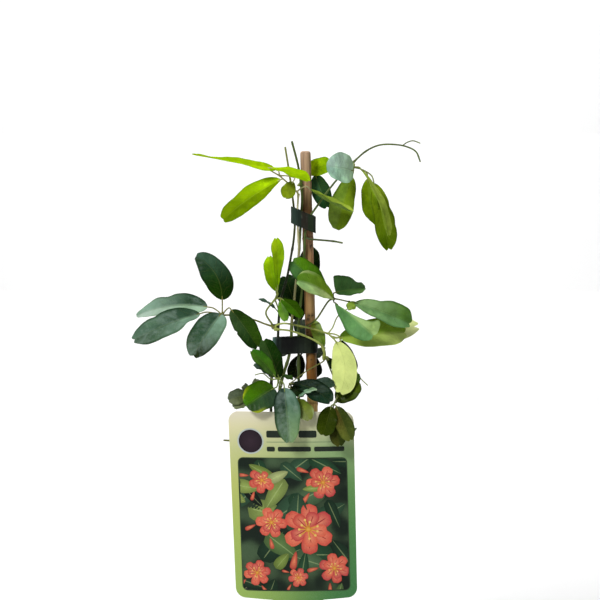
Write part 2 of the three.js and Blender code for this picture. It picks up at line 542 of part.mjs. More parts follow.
function post(index, radius, shoot) {
  const route = shoot === undefined ? STEMS[index].route : STEMS[index].shoots[shoot].route;
  return { plan: (z) => routePlan(route, z), radius };
}
const canePost = { plan: canePlan, radius: CANE.radius + 0.05 };

// ---------------------------------------------------------------- label
// A plate with rounded corners on a pointed spike, gently bowed, leaning forward over the rim.
function label() {
  const { width, spread, height, corner, bottom, spikeWidth, spikeFoot, thick } = LABEL;
  const top = bottom + height;
  const rows = [
    [spikeFoot, 2], [spikeFoot + 16, spikeWidth / 2], [bottom - 1.5, spikeWidth / 2],
      [bottom, width / 2 - corner],
    [bottom + 0.29 * corner, width / 2 - 0.29 * corner], [bottom + corner, width / 2],
      [bottom + height / 2, width / 2 + spread / 2],
    [top - corner, width / 2 + spread], [top - 0.29 * corner, width / 2 + spread - 0.29 * corner],
      [top, width / 2 + spread - corner],
  ];
  const lean = Math.tan(THREE.MathUtils.degToRad(LABEL.lean));
  const tilt = Math.tan(THREE.MathUtils.degToRad(LABEL.tilt));
  const columns = [-1, -0.75, -0.5, -0.25, 0, 0.25, 0.5, 0.75, 1];
  const geometry = sheet(rows.map(([z, half]) => columns.map((c) => {
    const x = c * half;
    const bow = LABEL.bow * (x / (width / 2)) ** 2;
    const front = new THREE.Vector3(
      LABEL.foot[0] + x - (z - SOIL.top) * tilt,
      LABEL.foot[1] - (z - SOIL.top) * lean + bow - thick / 2,
      z,
    );
    return { upper: front, under: front.clone().setY(front.y + thick) };
  })));
  return piece('plant_label', toGeometry(toSolid(geometry)), COLOURS.label, 0.35);
}

// ---------------------------------------------------------------- pot and soil
const wallSlope = (POT.rimRadius - POT.lipStep - POT.baseRadius) / POT.height;
const innerRadius = (z) => POT.baseRadius - POT.wall + wallSlope * z;

function turned(profile, segments) {
  const geometry = new THREE.LatheGeometry(profile.map(([r, z]) => new THREE.Vector2(r, z)), segments);
  return geometry.rotateX(Math.PI / 2);
}

function pot() {
  const { height, baseRadius, rimRadius, lip, lipStep, floor } = POT;
  const outer = (z) => baseRadius + wallSlope * z;
  const profile = [
    [0, 0], [baseRadius - 1, 0], [baseRadius, 1], [outer(height - lip), height - lip],
      [rimRadius - 0.8, height - lip + 1],
    [rimRadius, height - 1], [rimRadius - 0.8, height], [rimRadius - lipStep + 0.4, height],
      [innerRadius(height - 2) + 0.3, height - 2],
    [innerRadius(height - lip), height - lip], [innerRadius(floor), floor], [0, floor],
  ];
  let solid = toSolid(turned(profile, 48));
  for (let k = 0; k < POT.holes; k++) {
    const angle = 2 * Math.PI * (k + 0.5) / POT.holes;
    const hole = new THREE.CylinderGeometry(POT.holeRadius, POT.holeRadius, 4 * floor, 12);
    hole.rotateX(Math.PI / 2);
    hole.translate(POT.holeRing * Math.cos(angle), POT.holeRing * Math.sin(angle), floor / 2);
    solid = solid.subtract(toSolid(hole));
  }
  return piece('nursery_pot', toGeometry(solid), COLOURS.pot, 0.55);
}

function soilSurface(x, y) {
  const broad = Math.sin(x / 5.3 + 1) * Math.cos(y / 6.1);
  const fine = Math.sin(x / 2.9 + y / 3.7);
  return SOIL.top + SOIL.lump * (broad + fine) / 2;
}

function soil() {
  const rings = [57, 50, 42, 32, 22, 12, 0];
  const edge = innerRadius(SOIL.top) - GAP;
  const foot = POT.floor + GAP;
  const profile = [[0, foot], [innerRadius(foot) - GAP, foot], [edge, SOIL.top]];
  for (const ring of rings) profile.push([ring, SOIL.top]);
  const geometry = turned(profile, 36);
  const position = geometry.attributes.position;
  for (let i = 0; i < position.count; i++) {
    const [x, y, z] = [position.getX(i), position.getY(i), position.getZ(i)];
    if (z > SOIL.top - 0.1 && Math.hypot(x, y) < edge - 1) position.setZ(i, soilSurface(x, y));
  }
  let solid = toSolid(geometry);
  const clear = SOIL.top + 20;
  const bore = (radius, x, y, end) => {
    const hole = new THREE.CylinderGeometry(radius, radius, clear - end, 12).rotateX(Math.PI / 2);
    return hole.translate(x, y, (clear + end) / 2);
  };
  const caneHole = new THREE.CylinderGeometry(CANE.radius + 1, CANE.radius + 1, clear, 14);
  solid = solid.subtract(toSolid(placeOnCane(caneHole.translate(0, clear / 2 - 1, 0))));
  for (const { route, radius } of STEMS) {
    const [x, y, end] = route[0];
    if (end < SOIL.top) solid = solid.subtract(toSolid(bore(radius[0] + 0.4, x, y, end - GAP)));
  }
  const lean = THREE.MathUtils.degToRad(LABEL.lean);
  const slotHeight = SOIL.top + 12 - LABEL.spikeFoot;
  const slot = new THREE.BoxGeometry(LABEL.spikeWidth + 2, LABEL.thick + 2.4, slotHeight).rotateX(lean);
  const slotMiddle = LABEL.spikeFoot - 1 + slotHeight / 2;
  slot.translate(LABEL.foot[0], LABEL.foot[1] + 0.4 - (slotMiddle - SOIL.top) * Math.tan(lean), slotMiddle);
  solid = solid.subtract(toSolid(slot));
  return piece('potting_soil', toGeometry(solid), COLOURS.soil, 0.95);
}

// ---------------------------------------------------------------- the plant
const plant = new THREE.Group();
plant.add(pot(), soil(), cane(), label());
for (const item of STEMS) plant.add(stem(item));
const upperPosts = [canePost, post(0, 1.3), post(1, 1.2), post(2, 1.3), post(0, 0.95, 0)];
const lowerPosts = [canePost, post(0, 1.6), post(1, 1.45), post(2, 1.6)];
plant.add(band('tie_band_upper', 498, 0.42, upperPosts));
plant.add(band('tie_band_lower', 385, 0, lowerPosts));
for (const item of LEAVES) plant.add(compoundLeaf(item));

export default plant;
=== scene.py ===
"""Looks of a young potted vine tied to a bamboo cane: stems, stalked leaves of notched leaflets, two
plastic bands, a picture label on a spike, and a nursery pot of compost. The tables are in
millimetres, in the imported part's frame, and every piece is written to its mesh in metres."""
import math
import random

import bpy
from mathutils import Matrix, Vector, noise


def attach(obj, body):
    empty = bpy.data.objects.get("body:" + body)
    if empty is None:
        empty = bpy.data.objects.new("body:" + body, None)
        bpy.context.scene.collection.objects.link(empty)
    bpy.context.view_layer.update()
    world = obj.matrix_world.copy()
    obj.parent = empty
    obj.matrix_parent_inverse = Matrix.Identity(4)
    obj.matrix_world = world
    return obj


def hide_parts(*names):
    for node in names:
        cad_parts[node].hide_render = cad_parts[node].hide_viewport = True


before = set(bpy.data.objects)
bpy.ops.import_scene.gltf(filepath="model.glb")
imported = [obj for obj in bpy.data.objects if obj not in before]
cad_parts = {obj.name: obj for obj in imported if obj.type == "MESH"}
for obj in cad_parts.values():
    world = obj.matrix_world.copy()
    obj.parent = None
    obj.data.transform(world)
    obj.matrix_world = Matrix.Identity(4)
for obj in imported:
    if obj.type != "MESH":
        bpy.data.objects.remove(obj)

MM = 0.001
TURN = 2 * math.pi
WHITE, BLACK = (1, 1, 1, 1), (0, 0, 0, 1)
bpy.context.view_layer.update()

# ------------------------------------------------------------------ driving sizes, in millimetres
POT = dict(height=130, base=50, rim=69, wall=1.8, floor=2.4, lip=13, step=2.2, sides=96)
RIBS = dict(low=12, high=96, pitch=6, depth=0.25)
SOIL = dict(top=119, crumbs=1500, sink=0.6, rings=40)
CANE = dict(radius=4.8, foot=(18.5, 0, 14), top=(3, 0, 558.5), knots=(0.13, 0.38, 0.585, 0.86), sides=40,
            pitch=1.5, rounding=2.4, flutes=9, flute=0.06, rough=0.09)
LABEL = dict(width=107, spread=0.7, height=168.5, thick=0.8, corner=9, bottom=166, shoulder=1.5, spike=42,
             spike_foot=76, point=16, tip=2, columns=40, foot=(-3.2, -50.5), lean=5.6, tilt=1.75, bow=4.5)
BAND = dict(height=15, wall=1.1, gap=0.35, points=180, crease=0.16, crease_gap=23, fray=0.22)
LEAFLET = dict(point=2.3, share=0.93, drop=0.045, notch=0.03)
# A blade's grid and how its rows crowd towards the tip and its columns towards the edges, its thickness in
# the middle and at its rim, its waves, the puckers between its side veins and the groove of its midrib.
BLADE = dict(rows=34, columns=19, row_crowding=1.35, column_crowding=0.85, thick=0.46, rim=0.18,
             wave=0.6, waves=(1.6, 2.6), edge_waves=1.7, pucker=0.12, puckers=7, groove=0.2, groove_width=0.6)
STALK = dict(foot=1.1, petiole=0.8, petiolule=0.62, steps=12, colour="#87943F")
# A stem's joints, the swelling where a leaf grows from it, and how uneven it is between.
STEM = dict(joint_gap=52, joint_width=1.6, joint=0.22, swelling=0.9, swelling_width=3.4, uneven=0.06,
            sides=14)
CAMERA = dict(target=(-1.8, 0, 425), distance=1500, pitch=5, lens=100, sensor=36)
# Each light's name, place, aim, size and power.
LIGHTS = [("key", (-800, -1300, 1500), (0, 0, 400), 450, 25),
          ("fill", (1300, -1300, 500), (0, 0, 380), 900, 3),
          ("sweep", (0, 1000, 1900), (0, 1900, 200), 1800, 38)]
# The pale floor's profile, how far back and how high, and half its width.
FLOOR = [(-3000, 0), (1400, 0), (1800, 60), (2100, 260), (2250, 600), (2300, 1100), (2300, 4000)]
FLOOR_HALF = 4000


# ------------------------------------------------------------------ colours
def rgb(code):
    """A "#rrggbb" screen colour as linear light."""
    parts = [int(code[k:k + 2], 16) / 255 for k in (1, 3, 5)]
    return (*[p / 12.92 if p <= 0.04045 else ((p + 0.055) / 1.055) ** 2.4 for p in parts], 1.0)


def mixed(a, b, share):
    """The colour that lies a share of the way from a to b."""
    return tuple(p + (q - p) * share for p, q in zip(a, b))


# Leaflet tints: the upper side's colour at the base and the tip of its left half, then of its right half,
# walking from the base to the tip, and how much painted sheen it takes. Besides each leaf's own green, the
# corners hold painted light and shade: one half lit and the other shaded, and grey-blue painted sheen.
TINTS = {
    "lime": ("#B0D606 #A2CA06 #A8CE06 #9CC404", 0),
    "lime_broad": ("#7C9A02 #648202 #B6DE0C #769404", 0),
    "lime_folded": ("#B4CA4C #A8BE44 #84A41C #6C9010", 0),
    "fresh": ("#B4DE10 #92BA10 #8CB40E #82AA10", 0),
    "fresh_small": ("#8A9C22 #84981C #90A424 #7C9214", 0),
    "fresh_wide": ("#C0E810 #9CC80C #B4DC0E #92C20A", 0),
    "dusk": ("#234A20 #1E4020 #3A6640 #24502C", 0.02),
    "frost": ("#C4EEC4 #A8D8C0 #D0F4D2 #C0E6D2", 0.4),
    "frost_edge": ("#B4CC50 #ACC448 #B4CE50 #A8C840", 0),
    "spring": ("#7E9C1C #5E7C0A #7A960E #668208", 0),
    "spring_long": ("#80981E #5A760C #8CA61C #5C7C08", 0),
    "spring_sheen": ("#84A020 #6E8A1E #7A9A30 #7C963C", 0),
    "left_top": ("#163A02 #22402A #0A2A00 #3E5E4A", 0),
    "left_high": ("#A4C6A8 #B0C8B6 #2A4A34 #8EB09A", 0.3),
    "left_low": ("#7A9C86 #2E4C32 #34523E #54745F", 0.25),
    "left_front": ("#86AA92 #122604 #34523E #3C5C42", 0.2),
    "left_inner": ("#1E3C0C #345610 #3A5630 #1C3E12", 0),
    "sunlit": ("#668C06 #9CC60C #5E8606 #8AB40A", 0),
    "sunlit_pale": ("#9CC048 #B4D45C #A6C850 #C0DC6C", 0),
    "sunlit_tall": ("#78A40A #BCE418 #86B40C #A6D210", 0),
    "grass": ("#2C4E04 #2E5004 #406E10 #3C6A08", 0),
    "grass_bright": ("#648446 #60922A #5A8C22 #74A03C", 0),
    "slate": ("#4C6456 #3C5448 #56705F #4A6456", 0.05),
    "shade": ("#0C1E0C #102810 #0E240E #143012", 0),
    "shade_blue": ("#142E16 #1A3414 #142A14 #203C20", 0),
    "mint": ("#E0F69C #A6D086 #84A62C #5C8626", 0),
    "two_green": ("#3A681C #4C7A40 #3A620C #54880C", 0),
    "bottle": ("#34572C #44663A #3A6030 #56803C", 0),
    "glossy_fold": ("#8CB272 #50782C #7CA868 #6A9A5A", 0.03),
    "jade": ("#9AC87C #AACB7C #5C9250 #76AC6A", 0.04),
    "olive": ("#52701E #86A634 #90AC42 #BED274", 0),
    "cream": ("#E0EC8C #EEF8A6 #E6F29A #F2FAB0", 0),
    "pale": ("#B2D072 #CDE48C #BEDA7A #D8EC98", 0),
    "olive_young": ("#88A850 #98A83C #6A8828 #90A860", 0),
    "pale_olive": ("#5E7020 #7C8A3C #66762C #8C985A", 0),
    "moss": ("#2E3C02 #38480A #202E00 #3E4E04", 0),
    "moss_brown": ("#3A4614 #4C5A24 #5C4E22 #68722E", 0),
    "moss_deep": ("#2E340A #2E3A10 #1C2804 #464A1A", 0),
    "moss_green": ("#3E5408 #56741C #34440A #4E6014", 0),
    "deep_shade": ("#040A03 #061006 #050C04 #081408", 0),
    "moss_light": ("#4A6C1C #587A26 #54762A #618634", 0),
    "round_split": ("#3A5640 #2E5020 #3E6600 #4A8208", 0.02),
    "sheen_grey": ("#5E8270 #7C9C6C #243E34 #54764E", 0.3),
    "dark_long": ("#1C3410 #3C5C2C #0C2804 #143808", 0),
    "bright_long": ("#46662E #4B7C20 #4E7A20 #3C7A1C", 0),
    "dark_small": ("#20401A #36581E #1C3C0C #345418", 0),
    "smoke": ("#545F34 #767F60 #5C6A50 #6C7660", 0.05),
    "ink_blue": ("#0E2018 #14301F #142C20 #1C3C2A", 0.1),
    "ink_grey": ("#2C4438 #3C5448 #1E3428 #34503E", 0.15),
    "mint_thin": ("#7BA586 #86A880 #92BAA0 #B4D0B0", 0.1),
    "mature": ("#1F4417 #294F1E #23491A #2D5522", 0.08),
    "blue_green": ("#4C7A5C #5B8A6A #568465 #659474", 0.15),
}
UNDERSIDE = rgb("#8DA46C")
UNDERSIDE_SHARE = 0.4


# ------------------------------------------------------------------ the plant's routes
def leaf(name, slot, *route, blades, stalks=(), stalk=STALK["colour"], girth=1):
    """A compound leaf: its stalk's route from its stem, its leaflets, further stalks, and the stalks'
    colour and girth."""
    return dict(name=name, slot=slot, route=route, blades=blades, stalks=stalks, stalk=stalk, girth=girth)


def blade(tint, at, to, width, face, **form):
    """A leaflet: its tint, base, tip and width, the way its upper side faces, and what else shapes it."""
    return dict(form, tint=tint, at=at, to=to, width=width, face=face)


LEAVES = [
    leaf("leaf_top", "young_leaf", (-4.4, -14, 522.2), (-10, -18, 528), (-20, -25, 537), stalk="#C6C08A",
         girth=0.9, blades=[
        blade("lime", (-23, -27, 542.4), (-95, -50, 555.6), 21, (0, -0.5, 0.87), arch=0, twist=30,
              widest=0.3, taper=1.9, under="#B4D810"),
        blade("lime_broad", (-18.4, -26, 533.6), (-69.4, -34, 498.4), 22, (-0.3, -0.9, 0.5), arch=4,
              widest=(0.52, 0.36), taper=(1.2, 1.7), point=2.8, notch=0.01),
        blade("lime", (-28, -30, 543.6), (6, -60, 532.6), 16, (0, -0.4, 0.9), arch=3, widest=0.68, taper=1.3,
              under="#B4D810"),
        blade("fresh_small", (-8, -19, 531.6), (-15, -22, 517), 13, (0, -1, 0.2), widest=0.6),
        blade("lime_folded", (7, -20, 525), (45, -27, 505), 15, (0.4, -0.2, 1), hub=(-4.4, -14.4, 522.6),
              fold=30, arch=-2)]),
    leaf("leaf_top_back", "young_leaf", (-3.4, -4.6, 528), (-2.4, 3, 529.4), (0, 10, 532), blades=[
        blade("fresh_wide", (2, 12, 540), (27, 18, 548), 16, (0, -1, 0.1), taper=2),
        blade("dusk", (12, 12, 537), (22.6, 8, 507.5), 17, (-0.1, -1, 0.2), taper=2),
        blade("fresh", (8, 17, 537), (30, 50, 541), 22, (0, -0.3, 1), arch=4)]),
    leaf("leaf_top_right", "young_leaf", (46.4, -11.4, 546.6), (46, -13, 545.4),
         (45.6, -14.4, 544.2), blades=[
        blade("frost", (45, -15, 541), (21.4, -38, 545.4), 27, (0.75, -0.64, 0.1), fold=14, arch=3, taper=2,
              notch=0),
        blade("frost_edge", (52, -16, 542.6), (76, -28, 484.4), 15, (0.86, -0.5, 0.3), fold=14, arch=5,
              widest=0.74, taper=1.5),
        blade("spring", (58, -11, 534), (67, -2, 493), 18, (-0.6, -0.8, 0.1), arch=3, widest=0.5),
        blade("spring_long", (64, -9, 530), (77.4, -9, 470.5), 21, (0.35, -0.9, 0.1), fold=12, arch=3,
              widest=0.66, taper=1.9, wavy=0.03, dents=[(0, 0.4, 0.12, 0.06), (0, 0.68, 0.08, 0.06)]),
        blade("spring_sheen", (44.4, -8, 536), (30.6, 6, 488.5), 23, (-0.3, -0.9, 0.1), arch=2, widest=0.6,
              taper=1.9, notch=0)]),
    leaf("leaf_left", "mature_leaf", (-25.4, -21, 402.6), (-34, -22, 406), (-43, -28, 410), (-63, -38, 415),
         (-70, -40, 415), stalk="#7D7C34", blades=[
        blade("left_top", (-70, -38, 428.4), (-93, -34, 466.6), 25, (-0.2, -0.95, 0.25), arch=3, sway=7,
              widest=(0.44, 0.32), taper=1.9, point=2, notch=0),
        blade("left_high", (-83, -36, 422), (-146, -30, 413.6), 24, (0, -0.78, 0.6), arch=6, sway=2,
              widest=(0.42, 0.4), taper=1.9, point=1.6, notch=0, wavy=0.04,
              dents=[(1, 0.56, 0.2, 0.09), (0, 0.66, 0.25, 0.14)]),
        blade("left_low", (-89, -45, 417), (-146, -64, 395.5), 26, (-0.2, -0.85, 0.5), arch=4,
              widest=(0.7, 0.42), point=2, wavy=0.04, dents=[(0, 0.22, 0.3, 0.1), (1, 0.62, 0.12, 0.08)]),
        blade("left_front", (-70.6, -48, 417), (-94, -70, 382), 28, (-0.2, -0.9, 0.5), arch=3, widest=0.46,
              taper=2.1),
        blade("left_inner", (-62, -42, 420), (-38.4, -52, 387.6), 20, (0.3, -0.9, 0.3), arch=3, taper=1.9,
              wavy=0.05, dents=[(1, 0.5, 0.14, 0.03)])]),
    leaf("leaf_middle", "young_leaf", (-27, -19.6, 405.6), (-32, -25, 416), (-24, -28, 428), blades=[
        blade("sunlit", (-22, -27, 435), (-29, -23, 466), 15, (-0.6, -0.8, 0), taper=1.9),
        blade("sunlit_tall", (-21.6, -32, 438), (-22.6, -38, 483), 13, (0.5, -0.85, 0), widest=0.8,
              taper=1.2),
        blade("grass_bright", (-19, -30, 427.6), (-14, -38, 409.6), 9, (-0.3, -0.8, 0.5)),
        blade("grass", (-18, -31, 428.6), (-0.6, -44, 413.4), 13, (0.3, -0.8, 0.5), widest=0.56, taper=1.7),
        blade("slate", (-21.4, -22, 416.4), (-38.4, -28, 428.4), 7, (0.2, -0.35, 0.9), point=1.6)]),
    leaf("leaf_shaded", "mature_leaf", (-9.8, -4.6, 400), (-8, 2, 403), (-3, 9, 410),
         stalk="#3A4A1C", blades=[
        blade("shade", (-2, 11, 405), (-15, 15, 446), 27, (0, -1, 0.1)),
        blade("shade_blue", (6, 12, 438), (8, 14, 472), 19, (0, -1, 0.1)),
        # painted shade: these two are seen from beneath, their undersides painted dark where they lie in
        # shade
        blade("mature", (-3, 15, 409), (-8, 54, 414), 23, (0, -0.3, 1), arch=3, under="#1E3A14"),
        blade("mature", (0, 14, 406), (4, 52, 384), 20, (0, 0.5, 0.8), arch=3, under="#1E3A14")]),
    leaf("leaf_right_upper", "mature_leaf", (0.6, -8.2, 401), (12, -21, 409), (24, -28, 427), (28, -30, 429),
         stalk="#5F6A22", blades=[
        # painted light: the mint blade's pale rim is its lit edge
        blade("mint", (28, -33, 428.6), (-5, -50, 446.4), 25, (0.1, -0.75, 0.65), fold=16, arch=4,
              widest=0.66, taper=1.35, point=2.6, rim="#DDF0A0"),
        blade("two_green", (20, -27, 433), (-9, -22, 462), 22, (0.1, -0.95, 0.3), arch=3, taper=1.9),
        blade("bottle", (29.6, -28, 434), (56, -22, 437.4), 30, (0, -0.75, 0.65), fold=36, arch=1,
              widest=(0.06, 0.5), taper=2, point=1.5, notch=0, dents=[(0, 0.8, 0.22, 0.12)]),
        blade("glossy_fold", (46, -30, 425), (95.4, -36, 406.6), 26, (0.1, -0.8, 0.6), fold=20, arch=3,
              widest=(0.8, 0.62), point=2.6, dents=[(0, 0.42, 0.12, 0.1)]),
        blade("jade", (29, -33, 425.4), (63, -46, 397), 27, (0.1, -0.9, 0.4), arch=3, twist=20,
              widest=(0.86, 0.55), taper=(0.55, 1.25), point=2.8),
        blade("sunlit_pale", (42, -29.6, 426.2), (44, -28.6, 419), 10, (0.2, -0.9, 0.3),
              hub=(40.6, -30, 426.2), widest=0.3)]),
    leaf("leaf_right_middle", "pale_leaf", (-23.4, -20, 403.6), (-17, -22, 406), (-2, -24, 404),
         (11, -24, 401), (23, -22, 397), stalk="#A9B457", stalks=[[(23, -22, 397), (34, -13, 385),
         (47, -9, 365), (52, -10, 356), (59, -11, 349)], [(23, -22, 397), (27, -21, 402), (31, -20, 411),
         (36, -19, 416), (43, -18, 420), (49, -18, 424)]], blades=[
        blade("olive", (33, -18, 393), (93, -14, 397), 30, (0, -0.8, 0.6), arch=2),
        blade("cream", (38, -8, 393), (105.4, 2, 401), 24, (0, -0.9, 0.4), arch=2, notch=0.07, wavy=0.06),
        blade("pale", (30, -28, 390), (33, -40, 346), 23, (-0.1, 1, 0), arch=3, sway=6.4, taper=1.9,
              under="#F2FF9E"),
        blade("shade", (34, -21, 391), (44, -17, 358), 17, (0.1, -1, 0.1), arch=2)]),
    leaf("leaf_olive", "young_leaf", (20.2, -21.6, 384), (20, -19, 384), blades=[
        blade("olive_young", (19.6, -17, 384.4), (11, -15, 407.6), 11.5, (-0.3, -0.9, 0.1), widest=0.5)]),
    leaf("leaf_small_dark", "mature_leaf", (22.6, -21.8, 376), (23.4, -19.6, 373.4), blades=[
        blade("shade", (23.4, -18, 375), (29, -13, 365), 7, (0, -1, 0.2))]),
    leaf("leaf_front_right", "mature_leaf", (20.4, -18.4, 376.4), (26, -10, 362), (31, -14, 350),
         (31, -36, 343), (30, -58, 344), (27, -75, 341), stalk="#6E7A34", girth=0.78, blades=[
        blade("moss", (25, -77, 340), (18, -84, 316), 17, (0, -1, 0.15), taper=1.9),
        blade("moss_brown", (29.4, -77, 340), (41.6, -84, 311.6), 15.4, (0, -1, 0.15), taper=1.9),
        blade("moss_deep", (27, -75, 335), (32.4, -80, 306), 15, (0, -1, 0.15), taper=1.9),
        blade("moss_green", (30.8, -33, 337.6), (50, -26, 354.4), 20, (0.1, -0.8, 0.5), hub=(31, -36, 343),
              arch=2, taper=1.9),
        blade("moss_light", (37, -27, 343), (49.4, -24, 362), 12, (0.4, -0.85, 0.1),
              hub=(31.2, -36.7, 343.2))]),
    leaf("leaf_front_left", "mature_leaf", (-19, -15.6, 350), (-20, -35, 354), (-21, -61, 362),
         stalk="#7E9040", stalks=[[(-21, -61, 362), (-27, -59, 361), (-34, -58, 366),
         (-41, -57, 364.6)]], blades=[
        blade("round_split", (-24, -64, 354), (-48, -75, 339.8), 27.6, (-0.25, -0.93, 0.3), fold=3, arch=2,
              widest=0.48, taper=2.4, point=2.5, notch=0, rim="#D8E42A"),
        # painted sheen: grey-blue reflection over this front blade
        blade("sheen_grey", (-15.4, -69, 355), (-11, -83, 309.4), 23, (0.1, -0.95, 0.2), arch=3, widest=0.45,
              taper=2, point=2.1),
        blade("dark_long", (-20, -58, 361.6), (-33.6, -52, 395), 18, (0.3, -0.9, 0.2), taper=1.9),
        blade("bright_long", (-23, -61, 363), (-44, -60, 386.4), 14, (0.45, -0.75, 0.4)),
        blade("slate", (-27, -61, 363), (-42, -62, 374), 9, (0.3, -0.4, 0.8)),
        blade("dark_small", (-19, -61, 362.6), (-8, -65, 361.4), 8, (0, -0.3, 1))]),
    leaf("leaf_low_left", "mature_leaf", (-28.6, -10.4, 348), (-36, -20, 346), (-43, -29, 345), blades=[
        blade("smoke", (-48, -31, 343.6), (-65, -38, 339.4), 14.6, (-0.1, -0.9, 0.4), taper=2),
        blade("smoke", (-47, -30, 339.4), (-60.4, -40, 333.4), 12, (-0.1, -0.8, 0.5)),
        blade("smoke", (-47, -28, 345), (-51.6, -22, 351.4), 6.4, (-0.1, -1, 0)),
        blade("smoke", (-41.6, -28, 346), (-40, -24, 356.6), 8, (0.1, -1, 0))]),
    leaf("leaf_low_middle", "mature_leaf", (19.4, -22, 372.6), (4, -34, 365), (-10, -47, 356),
         stalk="#7C7F3C", girth=0.68, blades=[
        blade("ink_blue", (-10.4, -50, 356), (25, -62, 341), 20, (0.1, -0.8, 0.6), arch=3, sway=-3,
              widest=0.6, taper=1.2),
        blade("ink_grey", (8, -44, 354), (28.6, -37, 354.6), 11, (0, -0.8, 0.5)),
        blade("shade", (-10.6, -52, 352.6), (2, -56, 346.6), 9, (0, -0.9, 0.3)),
        blade("mint_thin", (-3.6, -58, 345), (13, -64, 353), 6, (0, -0.5, 0.85)),
        blade("pale_olive", (-4.4, -62, 344), (6.6, -77, 328), 15, (0, -0.8, 0.5), arch=2, widest=0.6,
              rim="#CCD9A0")]),
    leaf("leaf_low_back", "mature_leaf", (-4.4, -2.4, 366), (-4, 5, 370), (1, 12, 377),
         stalk="#2A3A16", blades=[
        # painted shade: near-black blades and dark undersides, where the back of the plant lies in shade
        blade("deep_shade", (-1, 13, 374), (-8, 18, 352), 16, (0, -1, 0.1)),
        blade("deep_shade", (8, 13, 375), (12, 16, 352), 15, (0.1, -1, 0.1)),
        blade("mature", (4, 16, 378), (14, 50, 366), 20, (0, 0.2, 1), arch=4, under="#16280F"),
        blade("mature", (-2, 16, 377), (-20, 48, 368), 20, (0, 0.2, 1), arch=4, under="#16280F")]),
    leaf("leaf_back_left", "mature_leaf", (-26.4, 1, 240), (-32, 12, 248), (-36, 22, 252), blades=[
        blade("mature", (-40, 26, 258), (-56, 42, 298), 24, (-0.5, 0.7, 0.4), arch=3),
        blade("grass", (-38, 30, 254), (-44, 78, 268), 25, (0, -0.2, 1), arch=4),
        blade("mature", (-34, 28, 250), (-16, 68, 236), 24, (0.2, 0.3, 0.9), arch=4),
        blade("mature", (-38, 22, 248), (-56, 20, 206), 24, (-0.8, 0.3, 0.3), arch=3),
        blade("blue_green", (-36, 28, 248), (-38, 60, 216), 24, (-0.2, 0.7, 0.6), arch=3)]),
    leaf("leaf_back_right", "mature_leaf", (-1, -0.8, 282), (-1, 8, 284), (10, 20, 288),
         (24, 26, 290), blades=[
        blade("mature", (26, 28, 294), (34, 38, 310), 20, (0.4, 0.7, 0.3), arch=3),
        blade("mature", (30, 30, 290), (44, 74, 296), 25, (0, -0.2, 1), arch=4),
        blade("grass", (24, 32, 290), (6, 74, 290), 24, (0, 0.1, 1), arch=4),
        blade("blue_green", (28, 26, 286), (44, 32, 244), 24, (0.8, 0.4, 0.3), arch=3),
        blade("mature", (26, 32, 286), (24, 66, 254), 24, (0.1, 0.6, 0.7), arch=3)]),
    leaf("leaf_back_upper", "young_leaf", (-6.6, -4.6, 449), (-8, 4, 449), (-2, 22, 447), blades=[
        blade("grass", (0, 26, 447), (2, 64, 444), 22, (0, -0.2, 1), arch=4),
        blade("fresh", (2, 25, 446), (14, 52, 437), 20, (0.1, 0.2, 1), arch=3),
        blade("grass", (-2, 25, 443), (-6, 44, 422), 18, (0, 0.8, 0.5), arch=3)]),
]

